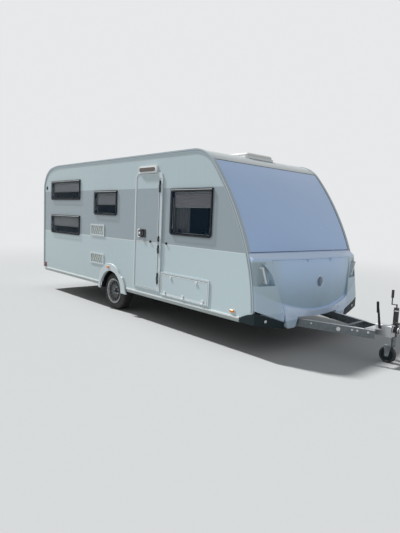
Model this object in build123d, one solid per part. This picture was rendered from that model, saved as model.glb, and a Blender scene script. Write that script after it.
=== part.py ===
"""A single-axle travel caravan, parked on its wheels and its jockey wheel.

Stations run forward from the outside of the rear wall.  X is forward, to the hitch, Y is to the
left and Z is up from the ground.  Every sub-part is saved with X = 0 at the middle of the whole
length.  The entrance door is on the right, which is the -Y side.  All sizes are millimetres.
"""
from build123d import *
from math import cos, radians, sin
import os

# Body shell
BODY_LENGTH = 5960
BODY_WIDTH = 2320
ROOF_HEIGHT = 2540
WALL = 31
WALL_BOTTOM = 450
FLOOR_TOP = 530
FLOOR_THICK = 45
FLOOR_BOTTOM = FLOOR_TOP - FLOOR_THICK
HALF = BODY_WIDTH / 2
INSIDE = HALF - WALL

# Side outline: radius and turn in degrees of each arc, from the roof downwards
REAR_ARCS = [(1637, 13.75), (431, 76.25)]
NOSE_ARCS = [(510, 49.24), (3670, 18.3), (2386, 22.46)]
REAR_JOINT = ROOF_HEIGHT - 510
NOSE_JOINT = ROOF_HEIGHT - 144

# Edge moulding along the side outline
EDGE_TRIM = 34
EDGE_OVER = 6
EDGE_CAP = 40
TRIM_PROUD = 9
GROOVE = (14, 22)
GROOVE_DEPTH = 5

# Clearances
RUNNING = 0.05
SEAT = 0.3
CLEAR = 5

# Road wheels
AXLE = 2740
TYRE_DIAMETER = 640
TYRE_WIDTH = 185
TYRE_INSET = 75
RIM_DIAMETER = 400
HUB_RADIUS = 32
WHEEL_OFFSET = 30
WHEEL_Z = TYRE_DIAMETER / 2
WHEEL_Y = HALF - TYRE_INSET - TYRE_WIDTH / 2
WHEEL_SLOTS = 14

# Wheel arch and the box over the wheel
ARCH_X = AXLE + 17
ARCH_Z = WHEEL_Z + 17
ARCH_RADIUS = WHEEL_Z + 15
ARCH_WIDTH = 62
ARCH_PROUD = 24
BOX_RADIUS = ARCH_RADIUS + 37
BOX_WALL = 5
BOX_DEPTH = TYRE_INSET + TYRE_WIDTH + 101 - WALL

# Entrance door
DOOR_X = (3478, 4061)
DOOR_Z = (532, 2256)
DOOR_SEAM = 1232
DOOR_LIP = 32
DOOR_HEAD = 12
DOOR_LINER = 12
DOOR_PROUD = 18
LEAF_THICK = 38
LEAF_PROUD = 12
HANDLE_X = (3538, 3752)
HANDLE_Z = (1296, 1424)

# Door hinges: leaf (1 upper, 0 lower), low and high height
DOOR_HINGES = [(1, 1975, 2143), (1, 1259, 1337), (0, 1083, 1205), (0, 634, 791)]
HINGE_X = DOOR_X[1] + 22
HINGE_LIP = 78
HINGE_OUT = 27
HINGE_RADIUS = 9
PIN_RADIUS = 4

# Windows: low and high station, low and high height
RIGHT_WINDOWS = [
    (374, 1611, 1861, 2232),
    (377, 1609, 1199, 1563),
    (2146, 2900, 1605, 2015),
    (4330, 5195, 1374, 2015),
]
LEFT_WINDOWS = [
    (420, 920, 1640, 2015),
    (2700, 3900, 1374, 2015),
    (4330, 5195, 1374, 2015),
]
PANE_THICK = 16
PANE_LAP = 30
FRAME_PROUD = 7
RAIL_HEIGHT = 22

# Flaps and vents: low and high station, low and high height
SERVICE_FLAP = (4146, 5196, 484, 827)
CASSETTE_FLAP = (470, 900, 560, 900)
VENTS = [(2033, 2505, 1241, 1443), (2033, 2505, 748, 940)]
FLAP_BORDER = 26
FLAP_PROUD = 10
FLAP_AXIS_OUT = 20
FLAP_AXIS_IN = 14
FLAP_PIN = 3
VENT_BORDER = 24
VENT_SLATS = 6

# Roof openings: centre station, centre across, length and width
ROOF_OPENINGS = [(4560, 0, 700, 500), (2350, -120, 400, 400), (680, 640, 280, 280)]

# Chassis: the rails stand inside the wheels, the drawbar stands inside the rails
RAIL_TO_TYRE = 280
RAIL_OUT = HALF - TYRE_INSET - TYRE_WIDTH - RAIL_TO_TYRE
RAIL_BOTTOM = 315
RAIL_FLANGE = 45
RAIL_REAR = 230
RAIL_FRONT = BODY_LENGTH - 580
RAIL_HOLES = 9
HOLE_PITCH = 480
HOLE_RADIUS = 42
HOLE_Z = 400
SHEET = 4
DRAWBAR_TOP = 413
DRAWBAR_DEEP = 100
DRAWBAR_FLANGE = RAIL_FLANGE - 6
DRAWBAR_REAR = BODY_LENGTH - 1060
DRAWBAR_KNEE = BODY_LENGTH - 548
DRAWBAR_END = BODY_LENGTH + 1020
DRAWBAR_HALF = RAIL_OUT - SHEET - SEAT
DRAWBAR_NOSE = 164
DRAWBAR_BRACE = BODY_LENGTH + 660

# Axle tube and the trailing arms
TUBE_X = AXLE + 150
TUBE_Z = 390
TUBE_SIDE = 90

# Hitch, in stations ahead of the nose
COUPLING_TIP = BODY_LENGTH + 1340
COUPLING_CUP = COUPLING_TIP - 42
CUP_RADIUS = 42
BALL_RADIUS = 25.4
SHAFT_Z = DRAWBAR_TOP + 22
GAITER = (COUPLING_TIP - 175, COUPLING_TIP - 110)

# Jockey wheel
JOCKEY_X = COUPLING_TIP - 205
JOCKEY_Y = 96
JOCKEY_TOP = 680
JOCKEY_RADIUS = 100
JOCKEY_TRAIL = 60
JOCKEY_TUBE = 30
JOCKEY_BORE = 26.5
JOCKEY_FOOT = 217

# Corner steadies: name, station of the pivot, side, heading of the folded leg
STEADIES = [
    ("steady_front_right", BODY_LENGTH - 710, -1, -1),
    ("steady_front_left", BODY_LENGTH - 710, 1, -1),
    ("steady_rear_right", RAIL_REAR + 30, -1, 1),
    ("steady_rear_left", RAIL_REAR + 30, 1, 1),
]
STEADY_Y = HALF - 340
STEADY_Z = 440
STEADY_LENGTH = 440
STEADY_PIN = 7

# Gas locker moulding: height, then how far its sides and its middle stand ahead of the nose
LOCKER_FOOT = WALL_BOTTOM - 50
LOCKER_KNEE = 520
LOCKER_RIDGE = 1172
LOCKER_SECTIONS = [
    (1234, -114, -98),
    (LOCKER_RIDGE, -48, 118),
    (LOCKER_KNEE, 42, 190),
    (LOCKER_FOOT, 16, 158),
]
LOCKER_SEAM = 1240
LOCKER_WALL = 6
LOCKER_BACK = BODY_LENGTH - 160
LOCKER_ROUND = 26
DISH_DEPTH = 44
BULKHEAD = BODY_LENGTH - 520
BULKHEAD_THICK = 25
AHEAD = BODY_LENGTH + 440
LIP_LOW = WALL_BOTTOM - 28
LIP_RISE = 168
LID_AXIS = (BODY_LENGTH + 125, 1160)
LID_HINGES = (-260, 260)
LID_TOP = HALF - 270
LID_KNEE = HALF - 444
LID_FOOT = HALF - 470
POCKET_FLOOR = BODY_LENGTH - 15

# Lamps: station, height and seat of each side marker, then the light above the door
MARKERS = [(BODY_LENGTH - 337, 504, 0), (ARCH_X - 59, ARCH_Z + 394, ARCH_PROUD)]
AWNING_LIGHT = (3549, 3998)
CLUSTER_Z = (545, 775)
CLUSTER_PITCH = 68

# Rear end
REAR_PROUD = 40
PLATE_SIZE = (524, 116)
PLATE_Z = 580

# Furniture
PANEL = 15
KITCHEN_X = (1980, 3380)
KITCHEN_DEPTH = 570
KITCHEN_TOP = 1430
WORKTOP = 28
BED_X = 4202
BED_TOP = 880
SEAT_DEPTH = 570
SEAT_TOP = 900
DINETTE_X = ((2460, 2960), (3640, 4140))
BUNK_WIDTH = 700
BUNK_END = 1900
BUNK_TOPS = (930, 1670)
BUNK_POST = 2200
TABLE_TOP = 1248
TABLE_THICK = 28
WASH_ROOM = (1180, 948)
WARDROBE = (WASH_ROOM[0] + 1, 1740)
WARDROBE_DEPTH = 728
BOARD = 18
CUPBOARD_TOP = ROOF_HEIGHT - 140

# Overhead lockers: side, low and high station
OVERHEADS = [(-1, 1990, 3370), (-1, 4230, 5000), (1, 2470, 3900), (1, 4230, 5000)]

MIDDLE = (COUPLING_TIP - REAR_PROUD) / 2


def block(x, y, z):
    """A box from its low and high limits along each axis."""
    size = Box(x[1] - x[0], y[1] - y[0], z[1] - z[0])
    return Pos((x[0] + x[1]) / 2, (y[0] + y[1]) / 2, (z[0] + z[1]) / 2) * size


def across(profile, y):
    """A profile drawn in X and Z, run from y[0] to y[1]."""
    plane = Plane((0, y[1], 0), x_dir=(1, 0, 0), z_dir=(0, -1, 0))
    return extrude(plane * profile, amount=y[1] - y[0])


def forward(profile, x):
    """A profile drawn in Y and Z, run from x[0] to x[1]."""
    plane = Plane((x[0], 0, 0), x_dir=(0, 1, 0), z_dir=(1, 0, 0))
    return extrude(plane * profile, amount=x[1] - x[0])


def upward(profile, z):
    """A profile drawn in X and Y, run from z[0] to z[1]."""
    return extrude(Pos(0, 0, z[0]) * profile, amount=z[1] - z[0])


def rounded(x, z, radius):
    """A rectangle from its limits with all corners rounded."""
    return Pos((x[0] + x[1]) / 2, (z[0] + z[1]) / 2) * RectangleRounded(x[1] - x[0], z[1] - z[0], radius)


def polygon(*points):
    """A flat face from its corners."""
    return make_face(Polyline(*points, close=True))


def bounded(*lines):
    """A flat face inside lines and arcs that meet end to end."""
    return make_face(Wire([edge for line in lines for edge in line.edges()]))


def rod(start, end, radius):
    """A round bar between two points."""
    path = Vector(*end) - Vector(*start)
    return extrude(Plane(start, z_dir=path) * Circle(radius), amount=path.length)


def mirrored(shape):
    """A right-hand piece and its twin on the left."""
    return [shape, mirror(shape, about=Plane.XZ)]


def save(name, *solids):
    """Write one sub-part in the frame of the whole caravan."""
    pieces = [Pos(-MIDDLE, 0, 0) * s for group in solids for s in group.solids()]
    export_step(Compound(pieces), "parts/" + name + ".step")


def outline_arcs(arcs, heading, reach_to):
    """A chain of arcs that leaves the roof level and ends upright at a station; also its first point."""
    reach = turned = 0
    for radius, angle in arcs:
        reach += radius * (sin(radians(turned + angle)) - sin(radians(turned)))
        turned += angle
    first = point = (reach_to - heading * reach, ROOF_HEIGHT)
    tangent = (heading, 0)
    chain = []
    for radius, angle in arcs:
        chain.append(JernArc(point, tangent, radius, -heading * angle))
        point, tangent = chain[-1] @ 1, chain[-1] % 1
    return chain, first, point


def outline():
    """The side outline of the body, down to the bottom of its walls."""
    rear, rear_top, rear_foot = outline_arcs(REAR_ARCS, -1, 0)
    nose, nose_top, nose_foot = outline_arcs(NOSE_ARCS, 1, BODY_LENGTH)
    lines = [Line(rear_top, nose_top), Line(nose_foot, (BODY_LENGTH, WALL_BOTTOM)),
             Line((BODY_LENGTH, WALL_BOTTOM), (0, WALL_BOTTOM)), Line((0, WALL_BOTTOM), rear_foot)]
    return bounded(*rear, *nose, *lines)


OUTLINE = outline()
BEYOND = 50
EVERYWHERE = (-HALF - BEYOND, HALF + BEYOND)
FRONT_HALF = (BODY_LENGTH / 2, BODY_LENGTH + 500)
REAR_HALF = (-BEYOND, BODY_LENGTH / 4)


def shell_ring():
    """The closed sandwich ring of rear wall, roof and front, between the side walls."""
    x0, x1 = WALL, BODY_LENGTH - WALL
    hollow = offset(OUTLINE, -WALL)
    z0, z1 = WALL_BOTTOM - 1, WALL_BOTTOM + 2 * WALL
    hollow += polygon((x0, z0), (x1, z0), (x1, z1), (x0, z1))
    return across(OUTLINE - hollow, (-INSIDE, INSIDE))


def build_ends_and_roof():
    """Rear wall, roof and front wall, cut from one ring where the real panels meet."""
    ring = shell_ring()
    rear = ring & block(REAR_HALF, EVERYWHERE, (0, REAR_JOINT))
    front = ring & block(FRONT_HALF, EVERYWHERE, (LOCKER_SEAM - WALL, NOSE_JOINT))
    roof = ring - block(REAR_HALF, EVERYWHERE, (0, REAR_JOINT))
    roof -= block(FRONT_HALF, EVERYWHERE, (0, NOSE_JOINT))
    for x, y, length, width in ROOF_OPENINGS:
        hatch = ((x - length / 2, x + length / 2), (y - width / 2, y + width / 2))
        roof -= block(*hatch, (ROOF_HEIGHT - 2 * WALL, ROOF_HEIGHT + BEYOND))
    nose_x = min(v.X for v in front.vertices() if v.Z < LOCKER_SEAM)
    behind = BULKHEAD - BULKHEAD_THICK
    shelf = block((behind, nose_x + 4), (-INSIDE, INSIDE), (LOCKER_SEAM - WALL, LOCKER_SEAM - 6))
    bulkhead = block((behind, BULKHEAD), (-INSIDE, INSIDE), (FLOOR_TOP, LOCKER_SEAM - WALL))
    save("rear_wall", rear)
    save("roof", roof)
    save("front_wall", front + shelf + bulkhead)


def inset(opening, by):
    """The station limits and height limits of an opening, drawn in all round."""
    x0, x1, z0, z1 = opening
    return (x0 + by, x1 - by), (z0 + by, z1 - by)


def side_wall(windows, holes):
    """One flat side wall with its window and flap openings and its wheel arch."""
    face = OUTLINE - Pos(ARCH_X, ARCH_Z) * Circle(ARCH_RADIUS + 8)
    for window in windows:
        face -= rounded(*inset(window, PANE_LAP), 40)
    for hole in holes:
        face -= rounded(*hole, 12)
    return across(face, (-HALF, -INSIDE))


def door_hole(grow):
    """The outline of the doorway, square at the sill and rounded at the head."""
    x0, x1 = DOOR_X[0] - grow, DOOR_X[1] + grow
    z0, z1 = DOOR_Z[0] - min(grow, 0), DOOR_Z[1] + grow
    radius = 70 + grow
    face = polygon((x0, z0), (x1, z0), (x1, z1), (x0, z1))
    corners = [v for v in face.vertices() if v.Y > z1 - 1]
    return fillet(corners, radius)


def build_side_walls():
    """The right wall with the doorway, and the left wall with the cassette flap."""
    holes = [inset(SERVICE_FLAP, FLAP_BORDER - 4)] + [inset(vent, VENT_BORDER) for vent in VENTS]
    right = side_wall(RIGHT_WINDOWS, holes) - across(door_hole(DOOR_LINER), (-HALF - 1, -INSIDE + 1))
    left = side_wall(LEFT_WINDOWS, [inset(CASSETTE_FLAP, FLAP_BORDER - 4)])
    save("side_wall_right", right)
    save("side_wall_left", mirror(left, about=Plane.XZ))


def build_floor():
    """The floor panel, cut round the two wheel boxes."""
    floor = block((WALL, BODY_LENGTH - 60), (-INSIDE, INSIDE), (FLOOR_BOTTOM, FLOOR_TOP))
    well = ((ARCH_X - BOX_RADIUS, ARCH_X + BOX_RADIUS), (-INSIDE - 1, -INSIDE + BOX_DEPTH))
    for cut in mirrored(block(*well, (FLOOR_BOTTOM - 1, FLOOR_TOP + 1))):
        floor -= cut
    save("floor", floor)


def build_corner_profiles():
    """The edge mouldings that cover the joint of side wall and roof, with the awning groove."""
    over = offset(OUTLINE, EDGE_OVER)
    x0, x1 = -BEYOND, BODY_LENGTH + BEYOND
    low = polygon((x0, 0), (x1, 0), (x1, WALL_BOTTOM), (x0, WALL_BOTTOM))
    a, b, top = EDGE_TRIM, BODY_LENGTH - EDGE_TRIM, WALL_BOTTOM + 150
    inner = polygon((a, 0), (b, 0), (b, top), (a, top))
    a, top = BODY_LENGTH - 300, WALL_BOTTOM + 86
    nose = polygon((a, 0), (x1, 0), (x1, top), (a, top))
    band = over - offset(OUTLINE, -EDGE_TRIM) - low - inner - nose
    flat = across(band, (-HALF - TRIM_PROUD, -HALF))
    groove = offset(OUTLINE, -GROOVE[0]) - offset(OUTLINE, -GROOVE[1])
    flat -= across(groove, (-HALF - TRIM_PROUD - 1, -HALF - TRIM_PROUD + GROOVE_DEPTH))
    cap = across(over - OUTLINE, (-HALF, -HALF + EDGE_CAP))
    cap -= block((x0, x1 + 500), EVERYWHERE, (0, WALL_BOTTOM))
    cap -= block(FRONT_HALF, EVERYWHERE, (0, LOCKER_SEAM + 10))
    save("corner_profiles", *mirrored(flat + cap))


def build_skirts():
    """The two-step rail below each side wall, in front of and behind the wheel arch."""
    section = polygon(
        (-HALF - 13, WALL_BOTTOM + 4), (-HALF - 13, WALL_BOTTOM - 18), (-HALF - 4, WALL_BOTTOM - 26),
        (-HALF + 2, WALL_BOTTOM - 62), (-HALF + 24, WALL_BOTTOM - 66), (-HALF + 24, WALL_BOTTOM - 62),
        (-HALF + 6, WALL_BOTTOM - 58), (-HALF + 3, WALL_BOTTOM - SEAT), (-HALF, WALL_BOTTOM - SEAT),
        (-HALF, WALL_BOTTOM + 4))
    rear = forward(section, (60, ARCH_X - ARCH_RADIUS - ARCH_WIDTH))
    front = forward(section, (ARCH_X + ARCH_RADIUS + 150, BODY_LENGTH - 215))
    save("side_skirts", *mirrored(rear), *mirrored(front))


def arch_face(radius, foot):
    """A round-topped doorway over the wheel, down to a foot height."""
    left, right = ARCH_X - radius, ARCH_X + radius
    dome = ThreePointArc((left, ARCH_Z), (ARCH_X, ARCH_Z + radius), (right, ARCH_Z))
    if foot == ARCH_Z:
        return bounded(dome, Line((right, ARCH_Z), (left, ARCH_Z)))
    return bounded(dome, Polyline((right, ARCH_Z), (right, foot), (left, foot), (left, ARCH_Z)))


def build_arches():
    """The moulded trim round each wheel arch, with its kicked front leg, and the box over the wheel."""
    rear = -ARCH_RADIUS - ARCH_WIDTH + 6
    front = [(272, 318), (326, 276), (378, 268), (432, 170), (466, 54), (500, 0), (rear, 0), (rear, 110)]
    front = [(ARCH_X + x, ARCH_Z + z) for x, z in front]
    dome = (ARCH_X - 15, ARCH_Z + ARCH_RADIUS + 125)
    face = bounded(Polyline(*front), ThreePointArc(front[-1], dome, front[0]))
    trim = across(face - Pos(ARCH_X, ARCH_Z) * Circle(ARCH_RADIUS), (-HALF - ARCH_PROUD, -HALF))
    trim = chamfer(trim.faces().sort_by(Axis.Y)[0].edges(), 6)
    save("wheel_arch_trims", *mirrored(trim))
    back = -INSIDE + BOX_DEPTH
    box = across(arch_face(BOX_RADIUS, ARCH_Z), (-INSIDE, back))
    box -= across(arch_face(BOX_RADIUS - BOX_WALL, 0), (-INSIDE - 1, back - BOX_WALL))
    box -= block((ARCH_X - BOX_RADIUS, ARCH_X + BOX_RADIUS), (back - BOX_WALL - 1, 0), (0, FLOOR_BOTTOM))
    save("wheel_boxes", *mirrored(box))


def locker_block(within, sunk):
    """The bowed locker form; within makes it smaller and sunk draws its face back towards the foot."""
    faces = []
    half = HALF - within
    for z, side, middle in LOCKER_SECTIONS:
        share = (LOCKER_RIDGE - z) / (LOCKER_RIDGE - LOCKER_KNEE)
        back = within + sunk * min(1, max(0, share))
        a = (BODY_LENGTH + side - back, half)
        b = (BODY_LENGTH + side - back, -half)
        bow = ThreePointArc(a, (BODY_LENGTH + middle - back, 0), b)
        face = bounded(bow, Polyline(b, (LOCKER_BACK, -half), (LOCKER_BACK, half), a))
        face = fillet([v for v in face.vertices() if v.X > LOCKER_BACK + 1], LOCKER_ROUND)
        lift = {LOCKER_SECTIONS[0][0]: -within, LOCKER_SECTIONS[-1][0]: within}.get(z, 0)
        faces.append(Pos(0, 0, z + lift) * face)
    return loft(faces, ruled=True)


def smile(middle, side, reach):
    """Everything above a curved edge across the whole width that is low in the middle."""
    arc = ThreePointArc((-reach, side), (0, middle), (reach, side))
    return bounded(arc, Polyline((reach, side), (reach, ROOF_HEIGHT), (-reach, ROOF_HEIGHT), (-reach, side)))


def lid_outline(gap):
    """The lid seen from the front: upright at the top, then drawn in towards the foot."""
    right = [(LID_FOOT, LOCKER_FOOT - 20), (LID_KNEE, 500), (LID_TOP, 1050), (LID_TOP, 1166)]
    face = polygon(*right, *[(-y, z) for y, z in reversed(right)])
    return offset(face, -gap) if gap else face


def dish(grow):
    """The space cut out of the locker face above its lip."""
    region = smile(500, 760, HALF - 60) & lid_outline(0)
    region = offset(region, grow) if grow else region
    sunk_face = locker_block(LOCKER_WALL if grow else 0, DISH_DEPTH)
    return forward(region, (LOCKER_BACK, AHEAD)) - sunk_face


def housing_foot(grow):
    """The moulding from the front: its lower edge rises from the legs to the sides."""
    low, high = WALL_BOTTOM - 48 + grow, WALL_BOTTOM + 122 + grow
    right = [(LID_FOOT + 10, low), (HALF + 20, high), (HALF + 20, ROOF_HEIGHT)]
    return polygon(*right, *[(-y, z) for y, z in reversed(right)])


def pocket(side, grow):
    """The quarter-round scoop behind a grab handle."""
    scoop = Pos(side * (HALF + 40), 810) * Circle(350 + grow)
    limit = Pos(side * (HALF - 245), 1000) * Rectangle(2 * (200 + grow), 2 * (145 + grow))
    return forward(scoop & limit, (POCKET_FLOOR - grow, AHEAD))


def locker_leg(side):
    """A leg of the moulding, drawn in beside the drawbar."""
    drawbar = drawbar_half(BODY_LENGTH + 40) + CLEAR + 2
    points = [(LID_FOOT + 90, 0), (LID_FOOT + 8, -40), (drawbar, -40), (drawbar, -158), (LID_FOOT - 115, -145),
              (LID_FOOT - 35, -65), (LID_FOOT + 90, -5)]
    leg = polygon(*[(side * y, WALL_BOTTOM + z) for y, z in points])
    return forward(leg, (BODY_LENGTH + 40, BODY_LENGTH + 70))


def build_gas_locker():
    """The white front moulding with its legs, and the dished lid that covers the middle."""
    outer = locker_block(0, 0) - dish(0)
    inner = locker_block(LOCKER_WALL, 0) - dish(LOCKER_WALL)
    for side in (-1, 1):
        outer -= pocket(side, 0)
        inner -= pocket(side, LOCKER_WALL)
    reach = (LOCKER_BACK - BEYOND, AHEAD)
    body = across(offset(OUTLINE, 2), EVERYWHERE)
    body += block((reach[0], BODY_LENGTH + 2), EVERYWHERE, (RAIL_BOTTOM, WALL_BOTTOM + BEYOND))
    housing = (outer & forward(housing_foot(0), reach)) - (inner & forward(housing_foot(LOCKER_WALL), reach))
    housing = housing - body - forward(lid_outline(0), reach)
    lip = forward(smile(LIP_LOW, LIP_LOW + LIP_RISE, HALF + 20), reach)
    low = LIP_LOW + LOCKER_WALL
    lip_inside = forward(smile(low, low + LIP_RISE, HALF + 20), reach)
    lid = ((outer & lip) - (inner & lip_inside) - body) & forward(lid_outline(CLEAR), reach)
    for side in (-1, 1):
        housing += locker_leg(side)
    x, z = LID_AXIS
    for y in LID_HINGES:
        pin = rod((x, y - 30, z), (x, y + 30, z), 3)
        lug = [(-29, 7), (-7, 7), (-7, -7), (7, -7), (7, 10), (-8, 15), (-29, 15)]
        lug = polygon(*[(x + a, z + b) for a, b in lug])
        housing += pin + across(lug, (y - 30, y - 18)) + across(lug, (y + 18, y + 30))
        knuckle = rod((x, y - 18 + SEAT, z), (x, y + 18 - SEAT, z), 7)
        knuckle += block((x - 21, x - 1), (y - 18 + SEAT, y + 18 - SEAT), (z - 32, z - 2))
        lid += knuckle - rod((x, y - 18, z), (x, y + 18, z), 3 + RUNNING)
    save("gas_locker_housing", housing)
    save("gas_locker_lid", lid)


def build_windows():
    """Tinted panes that stand proud of the wall, each in a dark frame under a hinge rail."""
    panes, frames = [], []
    face = -HALF - FRAME_PROUD
    for flip, table in ((False, RIGHT_WINDOWS), (True, LEFT_WINDOWS)):
        for window in table:
            x0, x1, z0, z1 = window
            ring = rounded(*inset(window, 8), 48)
            hole = rounded(*inset(window, PANE_LAP + 4), 36)
            liner = rounded(*inset(window, PANE_LAP), 40)
            frame = across(ring - hole, (face, -HALF)) + across(liner - hole, (-HALF, -INSIDE))
            rail_z = (z1 + 8 - RAIL_HEIGHT, z1 + 8)
            frame += block((x0 + 2, x1 - 2), (face - PANE_THICK, -HALF), rail_z)
            above = polygon((x0 - 9, rail_z[0]), (x1 + 9, rail_z[0]), (x1 + 9, z1 + 99), (x0 - 9, z1 + 99))
            pane = across(rounded((x0, x1), (z0, z1 + 60), 55) - above, (face - PANE_THICK, face))
            pane = chamfer(pane.faces().sort_by(Axis.Y)[0].edges(), 5)
            frames.append(mirror(frame, about=Plane.XZ) if flip else frame)
            panes.append(mirror(pane, about=Plane.XZ) if flip else pane)
    save("window_frames", *frames)
    save("window_panes", *panes)


def leaf(z0, z1):
    """One leaf of the door between two heights."""
    body = across(door_hole(-CLEAR), (-HALF - LEAF_PROUD, -HALF - LEAF_PROUD + LEAF_THICK))
    return body & block((DOOR_X[0] - BEYOND, DOOR_X[1] + BEYOND), EVERYWHERE, (z0, z1))


def hinge_span(low, high):
    """The heights of the leaf's own knuckle in the middle of a hinge."""
    third = (high - low) / 3
    return low + third, high - third


def build_door():
    """Door frame, the two leaves and their hinges on one upright axis."""
    x0, x1 = DOOR_X
    foot = WALL_BOTTOM + 70
    head = DOOR_Z[1] + DOOR_HEAD
    left, right = x0 - DOOR_LIP, x1 + HINGE_LIP
    outer = polygon((left, foot), (right, foot), (right, head), (left, head))
    outer = fillet([v for v in outer.vertices() if v.Y > DOOR_Z[1]], 90)
    opening = door_hole(0) + polygon((x0, DOOR_Z[0] - 1), (x1, DOOR_Z[0] - 1), (x1, 1000), (x0, 1000))
    frame = across(outer - opening, (-HALF - DOOR_PROUD, -HALF))
    frame += across(door_hole(DOOR_LINER) - opening, (-HALF, -INSIDE))
    groove = (DOOR_HINGES[-1][1] - 34, DOOR_HINGES[0][2] + 37)
    frame -= block((HINGE_X - 22, HINGE_X + 16), (-HALF - 60, -HALF - 6), groove)
    axis_y = -HALF - HINGE_OUT
    hinges = []
    leaves = [leaf(DOOR_Z[0] + CLEAR, DOOR_SEAM - CLEAR / 2), leaf(DOOR_SEAM + CLEAR / 2, DOOR_Z[1])]
    barrel = Pos(HINGE_X, axis_y) * Circle(HINGE_RADIUS)
    pin = Pos(HINGE_X, axis_y) * Circle(PIN_RADIUS)
    bore = Pos(HINGE_X, axis_y) * Circle(PIN_RADIUS + RUNNING)
    for which, low, high in DOOR_HINGES:
        k0, k1 = hinge_span(low, high)
        fixed = upward(pin, (low, high))
        for z in ((low, k0 - SEAT), (k1 + SEAT, high)):
            fixed += upward(barrel, z) + block((HINGE_X, HINGE_X + 14), (axis_y, -HALF - 6), z)
        hinges.append(fixed)
        strap = block((HINGE_X - 45, HINGE_X), (axis_y - 4, -HALF - LEAF_PROUD), (k0, k1))
        leaves[which] += upward(barrel, (k0, k1)) + strap - upward(bore, (k0, k1))
    face = -HALF - LEAF_PROUD
    leaves[1] -= across(rounded(HANDLE_X, HANDLE_Z, 14), (face - 1, face + 10))
    save("door_frame", frame)
    save("door_hinges", *hinges)
    save("door_upper", leaves[1])
    save("door_lower", leaves[0])
    save("door_handle", door_handle())


def door_handle():
    """A white bezel let into the leaf, with the black pull across it."""
    face = -HALF - LEAF_PROUD
    dish_hole = rounded(*inset((*HANDLE_X, *HANDLE_Z), 14), 8)
    bezel = across(rounded(HANDLE_X, HANDLE_Z, 14), (face - 6, face + 10))
    bezel -= across(dish_hole, (face - 7, face + 2))
    grip_x = (HANDLE_X[1] - 112, HANDLE_X[1] - 84)
    grip = across(rounded(grip_x, (HANDLE_Z[0] + 10, HANDLE_Z[1] - 10), 10), (face - 30, face - 18))
    for z in ((HANDLE_Z[0] + 14, HANDLE_Z[0] + 30), (HANDLE_Z[1] - 30, HANDLE_Z[1] - 14)):
        grip += block(grip_x, (face - 20, face + 4), z)
    return bezel + grip


def flap_parts(flap):
    """Border and leaf of a flap in the right wall."""
    inside = rounded(*inset(flap, FLAP_BORDER), 8)
    border = across(rounded(*inset(flap, 0), 16), (-HALF - FLAP_PROUD - 2, -HALF))
    border += across(rounded(*inset(flap, FLAP_BORDER - 4), 12), (-HALF, -INSIDE))
    border -= across(inside, (-HALF - 2 * FLAP_PROUD, -INSIDE + 1))
    panel = across(rounded(*inset(flap, FLAP_BORDER + CLEAR), 6), (-HALF - FLAP_PROUD, -INSIDE - CLEAR))
    return border, panel


def build_flaps():
    """The service flap, hinged along its foot, and the cassette flap, hinged at its front edge."""
    axis_y = -HALF - FLAP_AXIS_OUT
    x0, x1, z0, z1 = SERVICE_FLAP
    border, panel = flap_parts(SERVICE_FLAP)
    axis_z = z0 + FLAP_AXIS_IN
    foot = z0 + FLAP_BORDER + CLEAR
    border += rod((x0 + 30, axis_y, axis_z), (x1 - 30, axis_y, axis_z), FLAP_PIN)
    for x in (x0 + 95, (x0 + x1) / 2 - 20, x1 - 135):
        panel += rod((x, axis_y, axis_z), (x + 40, axis_y, axis_z), FLAP_PIN + 4)
        panel += block((x, x + 40), (axis_y - 3, -HALF - 13), (axis_z + 4.5, foot + 30))
        panel += block((x, x + 40), (axis_y - 3, -HALF - FLAP_PROUD + 1), (foot + 1, foot + 30))
        panel -= rod((x - 1, axis_y, axis_z), (x + 41, axis_y, axis_z), FLAP_PIN + RUNNING)
    for x in (x0 + 30, x1 - 42):
        border += block((x, x + 12), (axis_y - 5, -HALF - FLAP_PROUD), (axis_z - 5, axis_z + 5))
    latch_z = z1 - FLAP_BORDER - 42
    for x in (x0 + 248, x1 - 251):
        panel += rod((x, -HALF - FLAP_PROUD + 1, latch_z), (x, -HALF - FLAP_PROUD - 10, latch_z), 24)
    x0, x1, z0, z1 = CASSETTE_FLAP
    side_border, side_panel = flap_parts(CASSETTE_FLAP)
    axis_x = x1 - FLAP_AXIS_IN
    edge = x1 - FLAP_BORDER - CLEAR
    side_border += rod((axis_x, axis_y, z0 + 30), (axis_x, axis_y, z1 - 30), FLAP_PIN)
    for z in (z0 + 60, z1 - 100):
        side_panel += rod((axis_x, axis_y, z), (axis_x, axis_y, z + 40), FLAP_PIN + 4)
        side_panel += block((edge - 30, axis_x - 4.5), (axis_y - 3, -HALF - 13), (z, z + 40))
        side_panel += block((edge - 30, edge - 1), (axis_y - 3, -HALF - FLAP_PROUD + 1), (z, z + 40))
        side_panel -= rod((axis_x, axis_y, z - 1), (axis_x, axis_y, z + 41), FLAP_PIN + RUNNING)
    for z in (z0 + 30, z1 - 42):
        side_border += block((axis_x - 5, axis_x + 5), (axis_y - 5, -HALF - FLAP_PROUD), (z, z + 12))
    save("flap_borders", border, mirror(side_border, about=Plane.XZ))
    save("service_flap", panel)
    save("cassette_flap", mirror(side_panel, about=Plane.XZ))


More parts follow.
